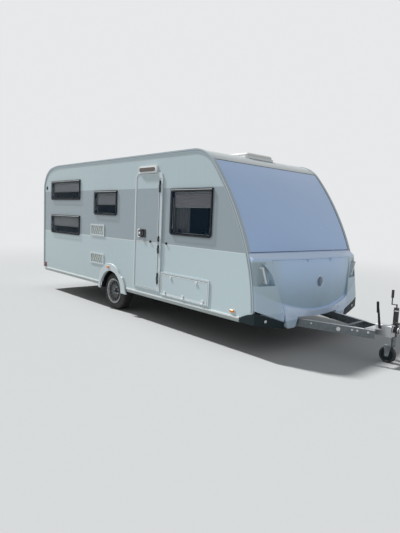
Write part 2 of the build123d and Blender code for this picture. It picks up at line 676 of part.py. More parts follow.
def build_vents():
    """The two slatted vents of the refrigerator."""
    solids = []
    for x0, x1, z0, z1 in VENTS:
        vent = (x0, x1, z0, z1)
        left, right = x0 + VENT_BORDER + 6, x1 - VENT_BORDER - 6
        inner = rounded((left, right), (z0 + VENT_BORDER + 2, z1 - VENT_BORDER - 2), 6)
        frame = across(rounded(*inset(vent, 0), 14), (-HALF - 12, -HALF))
        frame += across(rounded(*inset(vent, VENT_BORDER), 12), (-HALF, -INSIDE))
        frame -= across(inner, (-HALF - 20, -HALF + 6))
        pitch = (right - left) / VENT_SLATS
        for i in range(VENT_SLATS):
            x = left + (i + 0.5) * pitch
            slat = Pos(x, (z0 + z1) / 2) * Rotation(0, 0, -28) * Rectangle(12, (z1 - z0) * 1.3)
            frame += across(slat & inner, (-HALF - 8, -HALF + 8))
        solids.append(frame)
    save("fridge_vents", *solids)


def offset_path(points, distance):
    """The corners of a path moved sideways; positive is to the left of its heading."""
    moved = []
    for i, point in enumerate(points):
        last = max(i, 1)
        before = Vector(*points[last]) - Vector(*points[last - 1])
        inside = 0 < i < len(points) - 1
        after = Vector(*points[i + 1]) - Vector(*points[i]) if inside else before
        n1 = Vector(-before.Y, before.X).normalized()
        n2 = Vector(-after.Y, after.X).normalized()
        mid = (n1 + n2).normalized()
        moved.append((point[0] + mid.X * distance / mid.dot(n1), point[1] + mid.Y * distance / mid.dot(n1)))
    return moved


def channel(points, z, flange):
    """A channel with its web along a path on the right, open to the left of the heading."""
    outer = polygon(*points, *reversed(offset_path(points, flange)))
    inner_line = offset_path(points, SHEET)
    hollow = polygon(*inner_line, *reversed(offset_path(points, flange + 30)))
    return upward(outer, z) - upward(hollow, (z[0] + SHEET, z[1] - SHEET))


def drawbar_half(x):
    """Half the outside width of the drawbar at a station ahead of its knee."""
    share = (x - DRAWBAR_KNEE) / (DRAWBAR_END - DRAWBAR_KNEE)
    return DRAWBAR_HALF + (DRAWBAR_NOSE - DRAWBAR_HALF) * share


def build_chassis():
    """Side rails with lightening holes, drawbar members and the cross members between them."""
    path = [(RAIL_REAR, -RAIL_OUT), (RAIL_FRONT, -RAIL_OUT)]
    rail = channel(path, (RAIL_BOTTOM, FLOOR_BOTTOM), RAIL_FLANGE)
    for i in range(RAIL_HOLES):
        x = RAIL_REAR + 470 + i * HOLE_PITCH
        if abs(x - TUBE_X) > 200:
            rail -= rod((x, -RAIL_OUT - 10, HOLE_Z), (x, -RAIL_OUT + 10, HOLE_Z), HOLE_RADIUS)
    rail -= block((TUBE_X - 50, TUBE_X + 50), (-RAIL_OUT - 1, 0), (RAIL_BOTTOM - 1, TUBE_Z + 47))
    overlap = (DRAWBAR_REAR - 20, RAIL_FRONT + 20)
    rail -= block(overlap, (-RAIL_OUT + SHEET, -RAIL_OUT + 60), (RAIL_BOTTOM - 1, RAIL_BOTTOM + SHEET + 1))
    path = [(DRAWBAR_REAR, -DRAWBAR_HALF), (DRAWBAR_KNEE, -DRAWBAR_HALF), (DRAWBAR_END, -DRAWBAR_NOSE)]
    member = channel(path, (DRAWBAR_TOP - DRAWBAR_DEEP, DRAWBAR_TOP), DRAWBAR_FLANGE)
    save("chassis_rails", *mirrored(rail))
    save("drawbar", *mirrored(member))
    crosses = []
    z = (RAIL_BOTTOM + 60, RAIL_BOTTOM + 100)
    for x in (RAIL_REAR + 190, AXLE - 1240, AXLE + 1560):
        crosses.append(block((x - 25, x + 25), (-DRAWBAR_HALF, DRAWBAR_HALF), z))
    x0, x1 = DRAWBAR_BRACE - 20, DRAWBAR_BRACE + 20
    y = drawbar_half(x1) - SHEET * 1.05 - SEAT
    brace = block((x0, x1), (-y, y), (DRAWBAR_TOP - 40, DRAWBAR_TOP - SHEET - SEAT))
    save("cross_members", *crosses, brace)


def build_axle():
    """Square axle tube with a trailing arm, a back plate, a brake drum and a hub spigot at each end."""
    reach = RAIL_OUT + 80
    hub_y = WHEEL_Y + WHEEL_OFFSET
    half = TUBE_SIDE / 2
    axle = block((TUBE_X - half, TUBE_X + half), (-reach, reach), (TUBE_Z - half, TUBE_Z + half))
    arm_ends = Pos(TUBE_X, TUBE_Z) * Circle(52) + Pos(AXLE, WHEEL_Z) * Circle(38)
    arm_face = make_hull(arm_ends.edges())
    # Turned parts on the stub: radius, how far each end lies inboard of the wheel's seat
    turned = [(28, hub_y - reach - 25, 60), (128, 82, 74), (118, 76, SEAT), (HUB_RADIUS, 2, -20)]
    for side in (-1, 1):
        axle += across(arm_face, sorted((side * reach, side * (reach + 50))))
        for radius, start, stop in turned:
            y0, y1 = side * (hub_y - start), side * (hub_y - stop)
            axle += rod((AXLE, y0, WHEEL_Z), (AXLE, y1, WHEEL_Z), radius)
        plate = sorted((side * (DRAWBAR_HALF - 8), side * DRAWBAR_HALF))
        axle += block((TUBE_X - 95, TUBE_X + 95), plate, (TUBE_Z - half, FLOOR_BOTTOM - 7))
    save("axle", axle)


def turned_about_axle(profile):
    """A ring from its half section, given as radius and distance across the wheel."""
    return revolve(polygon(*profile), axis=Axis.Y)


def build_wheels():
    """Tyre and slotted rim of each wheel, turned about the axle."""
    tread = WHEEL_Z
    rim = RIM_DIAMETER / 2
    w = TYRE_WIDTH / 2
    half = [(rim, 12 - w), (rim + 45, -w), (tread - 22, 8 - w), (tread - 8, 15 - w), (tread, 30 - w)]
    tyre = turned_about_axle(half + [(r, -y) for r, y in reversed(half)])
    seat = -WHEEL_OFFSET
    bore = HUB_RADIUS + RUNNING
    barrel = [(rim - 9, 4 - w), (rim - SEAT, 4 - w), (rim - SEAT, w - 4), (rim - 9, w - 4)]
    flange = [(rim - 9, 6 - w), (rim - SEAT, 6 - w), (rim - SEAT, 1 - w)]
    flange += [(rim + 12, -3 - w), (rim + 12, -8 - w), (rim - 9, -2 - w)]
    disc = [(bore, seat), (bore, seat - 12), (66, seat - 12), (96, 26 - w), (118, 14 - w)]
    disc += [(rim - 16, 18 - w), (rim - 9, 22 - w), (rim - 9, 30 - w), (rim - 18, 27 - w)]
    disc += [(118, 24 - w), (104, 34 - w), (74, seat)]
    wheel = turned_about_axle(barrel) + turned_about_axle(flange) + turned_about_axle(disc)
    slot = upward(fillet(polygon((128, -9), (172, -14), (172, 14), (128, 9)).vertices(), 5), (-60, 60))
    slot = Pos(0, 20 - w, 0) * Rotation(-90, 0, 0) * slot
    for i in range(WHEEL_SLOTS):
        wheel -= Rotation(0, 360 / WHEEL_SLOTS * i, 0) * slot
    place = Pos(AXLE, -WHEEL_Y, WHEEL_Z)
    for name, solid in (("tyre", place * tyre), ("rim", place * wheel)):
        save(name + "_right", solid)
        save(name + "_left", mirror(solid, about=Plane.XZ))


def build_hitch():
    """Overrun housing on its plate, the pleated gaiter, the coupling head and the handbrake lever."""
    top = DRAWBAR_TOP
    rear = DRAWBAR_END - 120
    y = drawbar_half(rear)
    plate = polygon((rear, -y), (rear, y), (DRAWBAR_END + 30, 52), (DRAWBAR_END + 30, -52))
    housing = upward(plate, (top + SEAT, top + 9))
    housing += block((DRAWBAR_END - 50, GAITER[0] - 5), (-52, 52), (top - 70, top + 64))
    flanks = housing.edges().filter_by(Axis.X).group_by(Axis.Z)[-1]
    housing = fillet(flanks, 16)
    pleat = (GAITER[1] - GAITER[0]) / 10
    folds = [(GAITER[0] - 5, 38)]
    for i in range(11):
        folds.append((GAITER[0] + i * pleat, 40 if i % 2 else 32))
    skirt = make_face(Polyline((GAITER[0] - 5, 0), *folds, (GAITER[1], 0), close=True))
    housing += Pos(0, 0, SHAFT_Z) * revolve(Plane.XZ * skirt, axis=Axis.X)
    save("overrun_device", housing)
    collar = rod((GAITER[1] + SEAT, 0, SHAFT_Z), (COUPLING_CUP - 36, 0, SHAFT_Z), 30)
    rear, wide = COUPLING_CUP - 53, CUP_RADIUS - 6
    neck = polygon((rear, -30), (COUPLING_CUP, -wide), (COUPLING_CUP, wide), (rear, 30))
    neck = upward(neck, (top - 22, top + 48))
    cup = Pos(COUPLING_CUP, 0) * upward(Circle(CUP_RADIUS), (top - 22, top + 52))
    cup = fillet(cup.edges().group_by(Axis.Z)[-1], 12)
    # Handle of the coupling in side view: behind the cup, above the drawbar
    handle = [(-62, 46), (-8, 46), (6, 60), (-60, 104), (-118, 112), (-116, 98), (-70, 88), (-62, 66)]
    handle = across(polygon(*[(COUPLING_CUP + x, top + z) for x, z in handle]), (-15, 15))
    head = collar + neck + cup + handle
    head -= Pos(COUPLING_CUP, 0) * upward(Circle(BALL_RADIUS), (top - 30, top + 40))
    save("coupling_head", head)
    pivot = DRAWBAR_END + 5
    lever = [(-15, 16), (15, 16), (-23, 250), (-43, 250)]
    lever = across(polygon(*[(pivot + a, top + b) for a, b in lever]), (-70, -60))
    lever += rod((pivot, -52 - SEAT, top + 32), (pivot, -74, top + 32), 12)
    lever += rod((pivot - 35, -65, top + 200), (pivot - 47, -65, top + 330), 15)
    save("handbrake_lever", lever)


def build_jockey():
    """Outer tube in its clamp with the crank, inner tube with the screw, fork and wheel."""
    x, y = JOCKEY_X, JOCKEY_Y
    at = Pos(x, y)
    tube = upward(at * (Circle(JOCKEY_TUBE) - Circle(JOCKEY_BORE)), (JOCKEY_TOP - 350, JOCKEY_TOP))
    tube += upward(at * Circle(JOCKEY_TUBE), (JOCKEY_TOP - 12, JOCKEY_TOP))
    ring = at * (Circle(JOCKEY_TUBE + 17) - Circle(JOCKEY_TUBE - 2))
    clamp = upward(ring, (DRAWBAR_TOP - 20, DRAWBAR_TOP + 60))
    housing = block((x - 60, x + 60), (y - 60, 52 + SEAT), (DRAWBAR_TOP - 100, DRAWBAR_TOP + 100))
    tube += clamp - housing
    crank_z = JOCKEY_TOP + 32
    tube += rod((x, y, JOCKEY_TOP - 2), (x, y, crank_z + 8), 8)
    tube += rod((x, y, crank_z), (x - 60, y, crank_z), 6)
    tube += rod((x - 60, y, crank_z - 6), (x - 60, y, crank_z + 88), 7)
    tube += rod((x - 60, y, crank_z + 78), (x - 60, y, crank_z + 173), 15)
    save("jockey_tube", tube)
    inner = upward(at * (Circle(JOCKEY_BORE - RUNNING) - Circle(21)), (JOCKEY_FOOT, JOCKEY_FOOT + 313))
    inner += upward(at * Circle(24), (JOCKEY_FOOT, JOCKEY_FOOT + 12))
    save("jockey_inner", inner)
    wheel_x = x - JOCKEY_TRAIL
    fork = upward(at * Circle(26), (JOCKEY_FOOT - 9, JOCKEY_FOOT - SEAT))
    fork += block((wheel_x - 40, x + 20), (y - 38, y + 38), (JOCKEY_FOOT - 11, JOCKEY_FOOT - 5))
    crown = JOCKEY_FOOT - 7
    cheek = polygon((wheel_x - 22, 78), (wheel_x + 22, 78), (wheel_x + 54, crown), (wheel_x - 34, crown))
    for side in (-1, 1):
        fork += across(cheek, sorted((y + side * 33, y + side * 38)))
    fork += rod((wheel_x, y - 38, JOCKEY_RADIUS), (wheel_x, y + 38, JOCKEY_RADIUS), 10)
    save("jockey_fork", fork)
    half = [(10 + RUNNING, -28), (30, -28), (36, -20), (72, -20), (78, -28), (96, -26), (JOCKEY_RADIUS, -16)]
    wheel = turned_about_axle(half + [(r, -w) for r, w in reversed(half)])
    save("jockey_wheel", Pos(wheel_x, y, JOCKEY_RADIUS) * wheel)


def build_steadies():
    """Four folding legs, stowed up under the floor, and the brackets that carry them."""
    brackets = []
    under = FLOOR_BOTTOM - SEAT
    for name, x, side, heading in STEADIES:
        y = side * STEADY_Y
        end = x + heading * STEADY_LENGTH
        z = STEADY_Z
        leg = block(sorted((x - heading * 18, end)), (y - 25, y + 25), (z - 20, z + 18))
        leg -= block(sorted((x - heading * 30, end - heading * 30)), (y - 21, y + 21), (z - 16, z + 40))
        leg -= rod((x, y - 30, z), (x, y + 30, z), STEADY_PIN + RUNNING)
        foot = block(sorted((end - heading * 20, end + heading * 12)), (y - 45, y + 45), (z - 24, z + 24))
        save(name, leg + foot)
        bracket = block((x - 60, x + 60), (y - 45, y + 45), (under - 5, under))
        for s in (-1, 1):
            bracket += block((x - 25, x + 25), sorted((y + s * 26, y + s * 31)), (z - 20, under))
        bracket += rod((x, y - 31, z), (x, y + 31, z), STEADY_PIN)
        brackets.append(bracket)
    save("steady_brackets", *brackets)


def build_front_trim():
    """Grab handles in their scoops, and the dark covers that turn the lower front corners."""
    foot = POCKET_FLOOR + SEAT
    out = BODY_LENGTH + 28
    ends = [(-HALF + 100, 1075), (-HALF + 175, 892)]
    handle = rod((out, *ends[0]), (out, *ends[1]), 12)
    for y, z in ends:
        handle += rod((foot, y, z), (out, y, z), 12)
        handle += Pos(out, y, z) * Sphere(12)
    save("grab_handles", *mirrored(handle))
    tip, base = BODY_LENGTH - 215, WALL_BOTTOM - 54
    # Side view of the cover from its rear tip, then its front view from the corner inwards
    side_part = [(0, 0), (0, 12), (33, 65), (123, 105), (243, 138), (243, -4)]
    side_part = polygon(*[(tip + x, base + z) for x, z in side_part])
    corner, inner = -HALF - 10, -LID_FOOT - 14
    front_part = [(corner, 138), (corner + 40, 138), (inner, 1), (inner, -78), (inner - 46, -70)]
    front_part += [(corner + 40, -10), (corner, -4)]
    front_part = polygon(*[(y, base + z) for y, z in front_part])
    cover = across(side_part, (corner, -HALF - SEAT))
    shell = upward(bow_face(16) - bow_face(40), (base - 100, base + 200))
    cover += forward(front_part, (BODY_LENGTH - 30, BODY_LENGTH + 300)) & shell
    save("front_corner_covers", *mirrored(cover))


def bow_face(back):
    """The plan of the locker moulding at its lower edge, drawn back towards the body."""
    _, side, middle = LOCKER_SECTIONS[-2]
    a = (BODY_LENGTH + side - back, HALF + 10)
    b = (BODY_LENGTH + side - back, -HALF - 10)
    bow = ThreePointArc(a, (BODY_LENGTH + middle - back, 0), b)
    return bounded(bow, Polyline(b, (LOCKER_BACK, -HALF - 10), (LOCKER_BACK, HALF + 10), a))


def build_lamps():
    """Side markers, rear clusters, the awning light over the door, and the rear panel."""
    lamps = []
    for x, z, out in MARKERS:
        face = -HALF - out
        base = across(rounded((x - 44, x + 44), (z - 24, z + 24), 12), (face - 6, face))
        lens = across(rounded((x - 36, x + 36), (z - 18, z + 18), 14), (face - 20, face - 6))
        lamps += mirrored(base + chamfer(lens.faces().sort_by(Axis.Y)[0].edges(), 5))
    cluster_y = HALF - 150
    cluster = forward(rounded((cluster_y - 84, cluster_y + 84), CLUSTER_Z, 34), (-28, 0))
    for i in (-1, 0, 1):
        z = (CLUSTER_Z[0] + CLUSTER_Z[1]) / 2 + i * CLUSTER_PITCH
        cluster += rod((-28, cluster_y, z), (-REAR_PROUD, cluster_y, z), 30)
    lamps += mirrored(cluster)
    x0, x1 = AWNING_LIGHT
    z0 = DOOR_Z[1] + DOOR_HEAD + SEAT
    hood = across(rounded((x0, x1), (z0, z0 + 100), 22), (-HALF - 34, -HALF))
    lens = across(rounded((x0 + 25, x1 - 35), (z0 + 15, z0 + 76), 28), (-HALF - 44, -HALF - 34))
    lamps.append(hood + lens)
    save("lamps", *lamps)
    half = HALF - 245
    profile = polygon((0, WALL_BOTTOM + 10), (-24, WALL_BOTTOM + 10), (2 - REAR_PROUD, WALL_BOTTOM + 40),
                      (2 - REAR_PROUD, 672), (-14, 700), (0, 700))
    panel = across(profile, (-half, half))
    width, height = PLATE_SIZE
    recess = rounded((-width / 2, width / 2), (PLATE_Z - height / 2, PLATE_Z + height / 2), 10)
    panel -= forward(recess, (-REAR_PROUD - 10, -30))
    save("rear_panel", panel)


def build_roof_fittings():
    """The roof lights: a domed lid on a kerb round each roof opening."""
    fittings = []
    top = ROOF_HEIGHT
    for x, y, length, width in ROOF_OPENINGS:
        lid = Pos(x, y) * upward(RectangleRounded(length + 60, width + 60, 40), (top, top + 55))
        lid = chamfer(lid.edges().group_by(Axis.Z)[-1], 20)
        fittings.append(lid - Pos(x, y) * upward(RectangleRounded(length, width, 20), (top - 5, top + 45)))
    save("roof_fittings", *fittings)


def cabinet(x, y, z, back, top=PANEL):
    """A cabinet of thin panels with no back and no bottom; back is the side that the wall closes."""
    hollow_y = (y[0] - 1, y[1] - PANEL) if back < 0 else (y[0] + PANEL, y[1] + 1)
    return block(x, y, z) - block((x[0] + PANEL, x[1] - PANEL), hollow_y, (z[0] - 1, z[1] - top))


def overhead(side, x):
    """An overhead locker with a leaning front, open to the side wall."""
    wall = side * (INSIDE - SEAT)
    z0, z1 = CUPBOARD_TOP - 340, CUPBOARD_TOP
    points = [(0, z0), (270, z0), (305, z0 + 70), (285, z1), (0, z1)]
    inner = [(-2, z0 + PANEL), (260, z0 + PANEL), (290, z0 + 74), (272, z1 - PANEL), (-2, z1 - PANEL)]
    outer = forward(polygon(*[(wall - side * y, z) for y, z in points]), x)
    return outer - forward(polygon(*[(wall - side * y, z) for y, z in inner]), (x[0] + PANEL, x[1] - PANEL))


def build_interior():
    """The furniture that shows through the windows and the open door."""
    right, left = -INSIDE + 1, INSIDE - 1
    kitchen = cabinet(KITCHEN_X, (right, right + KITCHEN_DEPTH), (FLOOR_TOP, KITCHEN_TOP), -1, WORKTOP)
    behind = BULKHEAD - BULKHEAD_THICK
    bed = block((BED_X, behind), (right, left), (BED_TOP - BOARD, BED_TOP))
    bed += block((BED_X, BED_X + BOARD), (right, left), (FLOOR_TOP, BED_TOP))
    box_cut = block((ARCH_X - BOX_RADIUS - 2, ARCH_X + BOX_RADIUS + 2), (INSIDE - BOX_DEPTH - 2, INSIDE),
                    (FLOOR_TOP - 1, ARCH_Z + BOX_RADIUS + 2))
    seats = [cabinet(x, (left - SEAT_DEPTH, left), (FLOOR_TOP, SEAT_TOP), 1) - box_cut for x in DINETTE_X]
    table_x = (DINETTE_X[0][1] + 60, DINETTE_X[1][0] - 60)
    under = TABLE_TOP - TABLE_THICK
    table = block(table_x, (left - SEAT_DEPTH, left), (under, TABLE_TOP))
    table += block((table_x[1] - 320, table_x[1] - 240), (left - 430, left - 350), (FLOOR_TOP, under))
    bunks = block((BUNK_END, BUNK_END + 25), (right, right + BUNK_WIDTH), (FLOOR_TOP, BUNK_POST))
    for z in BUNK_TOPS:
        bunks += block((WALL + 1, BUNK_END), (right, right + BUNK_WIDTH), (z - 20, z))
    cabin = across(offset(OUTLINE, -WALL - 1), (right, left))
    wash_x, wash_y = WASH_ROOM
    wash = block((WALL + 1, wash_x), (left - wash_y, left - wash_y + BOARD), (FLOOR_TOP, CUPBOARD_TOP))
    wash += block((wash_x - BOARD, wash_x), (left - wash_y, left), (FLOOR_TOP, CUPBOARD_TOP))
    wardrobe = cabinet(WARDROBE, (left - WARDROBE_DEPTH, left), (FLOOR_TOP, CUPBOARD_TOP), 1)
    lockers = [overhead(side, (x0, x1)) for side, x0, x1 in OVERHEADS]
    save("kitchen_unit", kitchen)
    save("furniture", bed, *seats, table, bunks, wash & cabin, wardrobe & cabin, *lockers)
    cushions = [block((BED_X + 23, behind - 5), (right + 9, left - 9), (BED_TOP + SEAT, BED_TOP + 140))]
    for x0, x1 in DINETTE_X:
        y = (left - SEAT_DEPTH + 5, left - 7)
        cushions.append(block((x0 + 5, x1 - 5), y, (SEAT_TOP + SEAT, SEAT_TOP + 120)))
    for z in BUNK_TOPS:
        y = (right + 9, right + BUNK_WIDTH - 10)
        cushions.append(block((WALL + 8, BUNK_END - 10), y, (z + SEAT, z + 100)))
    save("cushions", *cushions)


os.makedirs("parts", exist_ok=True)
build_ends_and_roof()
build_side_walls()
build_floor()
build_corner_profiles()
build_skirts()
build_arches()
build_gas_locker()
build_windows()
build_door()
build_flaps()
build_vents()
build_chassis()
build_axle()
build_wheels()
build_hitch()
build_jockey()
build_steadies()
build_front_trim()
build_lamps()
build_roof_fittings()
build_interior()
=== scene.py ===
"""Looks of a single-axle travel caravan, built around its fixed frame.

X runs forward to the hitch, Y to the left and Z up from the ground, in metres.  Stations run
forward from the outside of the rear wall.
"""

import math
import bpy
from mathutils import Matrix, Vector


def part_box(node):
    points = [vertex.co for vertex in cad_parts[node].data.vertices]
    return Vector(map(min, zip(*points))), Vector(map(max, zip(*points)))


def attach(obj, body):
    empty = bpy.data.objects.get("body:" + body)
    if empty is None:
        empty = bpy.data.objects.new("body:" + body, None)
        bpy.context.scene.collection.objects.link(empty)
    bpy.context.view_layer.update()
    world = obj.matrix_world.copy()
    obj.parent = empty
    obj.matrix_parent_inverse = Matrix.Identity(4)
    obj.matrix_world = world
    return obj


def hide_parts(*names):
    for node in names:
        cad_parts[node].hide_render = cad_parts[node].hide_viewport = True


bl_info = {
    "name": "Travel caravan",
    "version": (1, 0, 0),
    "blender": (4, 5, 0),
    "location": "3D View > Sidebar > Caravan",
    "description": "Finishes, fittings, soft goods and stage of a touring caravan",
    "category": "Object",
}

import bmesh
import bpy
from bpy.props import FloatProperty, FloatVectorProperty, IntProperty, PointerProperty
from mathutils import Matrix, Vector
from mathutils.bvhtree import BVHTree

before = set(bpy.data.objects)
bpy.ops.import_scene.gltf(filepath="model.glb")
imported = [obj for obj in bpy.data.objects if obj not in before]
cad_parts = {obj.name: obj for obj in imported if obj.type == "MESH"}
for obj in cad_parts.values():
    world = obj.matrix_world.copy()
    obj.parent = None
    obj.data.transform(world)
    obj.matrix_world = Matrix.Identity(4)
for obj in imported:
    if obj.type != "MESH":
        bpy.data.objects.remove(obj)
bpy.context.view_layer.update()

# Reference places on the body, read from the frame
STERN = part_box("rear_wall")[0].x
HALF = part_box("side_wall_left")[1].y
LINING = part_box("side_wall_left")[0].y
WALL_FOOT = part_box("side_wall_right")[0].z
ROOF_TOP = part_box("roof")[1].z
FLOOR_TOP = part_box("floor")[1].z
SEAM_Z = (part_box("door_lower")[1].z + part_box("door_upper")[0].z) / 2
LEAF_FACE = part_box("door_upper")[0].y + 0.024
BAND_Z = (SEAM_Z + 0.003, 2.036)

# The inner face of the door's leaves, the doorway's edge beside the hinges, and the hinges
LEAF_INNER = -1.134
DOOR_EDGE_X = 0.431
HINGE_X = (0.433, 0.470)

# The lip, the lamp scoops and the lid of the front moulding
LIP_FOOT_Z = (0.40, 0.42)
LIP_TOP_Z = (0.495, 0.53)
LIP_BEND = 0.215
SCOOP_Z = (0.86, 1.14)
SCOOP_X = 2.335
LID_TOP_Z = 1.16

# Places outside the caravan from which a line looks for its skin, and the headings of such lines
AHEAD = 4
BEHIND = -5
BESIDE = -2
ABOVE = 4
BACKWARD = (-1, 0, 0)
FORWARD = (1, 0, 0)
LEFTWARD = (0, 1, 0)
RIGHTWARD = (0, -1, 0)
UP = (0, 0, 1)
DOWN = (0, 0, -1)

MIRROR = Matrix.Diagonal((1, -1, 1, 1))


class Link:
    """One output of a node, which takes part in sums by adding Math nodes."""

    def __init__(self, owner, socket):
        self.owner = owner
        self.socket = socket

    def sum(self, operation, first, second):
        """The Math node of one operation on two values or links."""
        return self.owner.add("ShaderNodeMath", {"operation": operation}, {0: first, 1: second})

    def __add__(self, other):
        return self.sum("ADD", self, other)

    def __radd__(self, other):
        return self.sum("ADD", other, self)

    def __sub__(self, other):
        return self.sum("SUBTRACT", self, other)

    def __rsub__(self, other):
        return self.sum("SUBTRACT", other, self)

    def __mul__(self, other):
        return self.sum("MULTIPLY", self, other)

    def __rmul__(self, other):
        return self.sum("MULTIPLY", other, self)

    def __truediv__(self, other):
        return self.sum("DIVIDE", self, other)

    def __abs__(self):
        return self.sum("ABSOLUTE", self, 0)

    def __mod__(self, other):
        return self.sum("MODULO", self, other)

    def __lt__(self, other):
        return self.sum("LESS_THAN", self, other)

    def __gt__(self, other):
        return self.sum("GREATER_THAN", self, other)


class Nodes:
    """A node tree that nodes are added to one call at a time."""

    def __init__(self, tree):
        self.tree = tree

    def add(self, kind, settings=None, sockets=None, output=0):
        """One node: its settings first, then the values or links of its sockets."""
        node = self.tree.nodes.new(kind)
        for name, value in (settings or {}).items():
            if name == "stops":
                for spare in list(node.color_ramp.elements)[2:]:
                    node.color_ramp.elements.remove(spare)
                while len(node.color_ramp.elements) < len(value):
                    node.color_ramp.elements.new(0.5)
                for element, (position, colour) in zip(node.color_ramp.elements, value):
                    element.position = position
                    element.color = colour
            else:
                setattr(node, name, value)
        for name, value in (sockets or {}).items():
            if isinstance(value, Link):
                self.tree.links.new(value.socket, node.inputs[name])
            else:
                node.inputs[name].default_value = value
        return Link(self, node.outputs[output]) if node.outputs else None

    def maximum(self, first, second):
        """The greater of two values."""
        return self.add("ShaderNodeMath", {"operation": "MAXIMUM"}, {0: first, 1: second})

    def backdrop_rays(self):
        """1 for rays that see the backdrop itself: from the camera, a gloss or through glass."""
        camera, glossy, through = (self.add("ShaderNodeLightPath", output=i) for i in (0, 3, 6))
        return self.maximum(self.maximum(camera, glossy), through)


class Shader(Nodes):
    """The node tree of one finish."""

    def __init__(self, tree):
        super().__init__(tree)
        tree.nodes.clear()
        self.place = self.add("ShaderNodeTexCoord", output=3)
        self.x = self.add("ShaderNodeSeparateXYZ", sockets={0: self.place}, output=0)
        self.y = self.add("ShaderNodeSeparateXYZ", sockets={0: self.place}, output=1)
        self.z = self.add("ShaderNodeSeparateXYZ", sockets={0: self.place}, output=2)

    def stretched(self, scale):
        """Object coordinates with their own scale on each axis."""
        return self.add("ShaderNodeMapping", sockets={"Vector": self.place, "Scale": scale})

    def noise(self, scale, detail=3.0, rough=0.5, at=None):
        """Soft noise from 0 to 1."""
        sockets = {"Vector": at or self.place, "Scale": scale, "Detail": detail, "Roughness": rough}
        return self.add("ShaderNodeTexNoise", sockets=sockets)

    def cells(self, scale, at=None, feature="F1", output=0):
        """Cell pattern, as its distance or its colour."""
        sockets = {"Vector": at or self.place, "Scale": scale}
        return self.add("ShaderNodeTexVoronoi", {"feature": feature}, sockets, output)

    def rise(self, value, low, high):
        """A smooth step from 0 at low to 1 at high."""
        sockets = {"Value": value, "From Min": low, "From Max": high}
        return self.add("ShaderNodeMapRange", {"interpolation_type": "SMOOTHSTEP"}, sockets)

    def within(self, value, low, high, soft=0.0005):
        """1 between two limits and 0 outside them."""
        return self.rise(value, low - soft, low + soft) * (1 - self.rise(value, high - soft, high + soft))

    def mix(self, factor, first, second):
        """Two colours mixed by a factor."""
        sockets = {0: factor, 6: first, 7: second}
        return self.add("ShaderNodeMix", {"data_type": "RGBA"}, sockets, 2)

    def bump(self, height, distance, strength=1.0):
        """A normal from a height in metres."""
        sockets = {"Strength": strength, "Distance": distance, "Height": height}
        return self.add("ShaderNodeBump", sockets=sockets)

    def surface(self, sockets):
        """The closing surface shader of the finish."""
        shader = self.add("ShaderNodeBsdfPrincipled", sockets=sockets)
        self.add("ShaderNodeOutputMaterial", sockets={"Surface": shader})


FINISHES = {}
MADE = {}


def finish(make):
    """Keep a finish under its own name until a piece first wants it."""
    FINISHES[make.__name__] = make
    return make


def material(name):
    """The material of a finish, built on first use."""
    if name not in MADE:
        MADE[name] = bpy.data.materials.new(name)
        MADE[name].use_nodes = True
        FINISHES[name](Shader(MADE[name].node_tree))
    return MADE[name]


def rgb(red, green, blue):
    """A colour with full alpha."""
    return (red, green, blue, 1.0)


def shade(colour, factor):
    """A colour made darker or lighter."""
    return rgb(*(min(1.0, c * factor) for c in colour[:3]))


def settings():
    """The sizes and colours that the panel shows."""
    return bpy.context.scene.caravan


def weathered(s, colour, reach=0.9):
    """A colour with faint clouds, rain streaks and road dust towards the foot of the body."""
    clouds = s.noise(1.3, 4.0)
    streaks = s.noise(1.0, 3.0, at=s.stretched((26.0, 26.0, 0.7)))
    dust = (1 - s.rise(s.z, WALL_FOOT - 0.1, reach)) * s.noise(7.0, 6.0, 0.6)
    base = s.mix(s.rise(clouds, 0.3, 0.75) * 0.5, colour, shade(colour, 0.965))
    base = s.mix(s.rise(streaks, 0.5, 0.8) * 0.16, base, shade(colour, 0.86))
    return s.mix(dust * 0.30, base, rgb(0.40, 0.40, 0.35))


def peel(s, strength=0.05, scale=55.0):
    """The slight waviness of a painted sheet."""
    return s.bump(s.noise(scale, 2.0) * 0.4 + s.noise(3.0, 1.0), 0.004, strength)


@finish
def side_paint(s):
    """White side sheet with its grey band between two heights, and the lining on the inside; painted light
    lightens the white towards the front and the foot, and a pale strip under the band is a painted highlight.
    """
    colours = settings().colours
    # Painted bounce light: the white grows lighter towards the front and the foot, as if lit from the ground.
    painted_bounce_light = s.rise(s.x, -1.2, 2.2) * (1 - s.rise(s.z, 1.0, 2.0))
    white = s.mix(painted_bounce_light, weathered(s, rgb(*colours.side)), shade(colours.side, 1.14))
    grey = weathered(s, rgb(*colours.band))
    band = s.within(s.z, *BAND_Z, 0.0008)
    # A pale strip just under the band: the painted highlight of a raised seam line, laid on the flat wall.
    line = s.within(s.z, BAND_Z[0] - 0.010, BAND_Z[0] - 0.001, 0.0008)
    outer = s.mix(band, white, grey)
    outer = s.mix(line * 0.7, outer, rgb(0.72, 0.77, 0.78))
    proud = 1 - s.rise(s.y, -HALF - 0.0130, -HALF - 0.0120)
    knuckles = proud * s.within(s.x, *HINGE_X)
    outer = s.mix(proud * (s.x > HINGE_X[1]), outer, rgb(0.70, 0.74, 0.75))
    outer = s.mix(knuckles, outer, rgb(0.030, 0.038, 0.044))
    inside = 1 - s.rise(abs(s.y), LINING + 0.002, LINING + 0.010)
    lining = s.mix(s.noise(60.0, 4.0), rgb(0.66, 0.63, 0.57), rgb(0.72, 0.69, 0.63))
    hammered = s.cells(140.0, feature="SMOOTH_F1") * 0.5 + s.noise(2.2, 2.0)
    s.surface({
        "Base Color": s.mix(inside, outer, lining),
        "Roughness": 0.30 + s.noise(9.0, 4.0) * 0.10 + inside * 0.25,
        "Coat Weight": 0.25 * (1 - inside),
        "Coat Roughness": 0.12,
        "Normal": s.bump(hammered, 0.003, 0.09),
    })


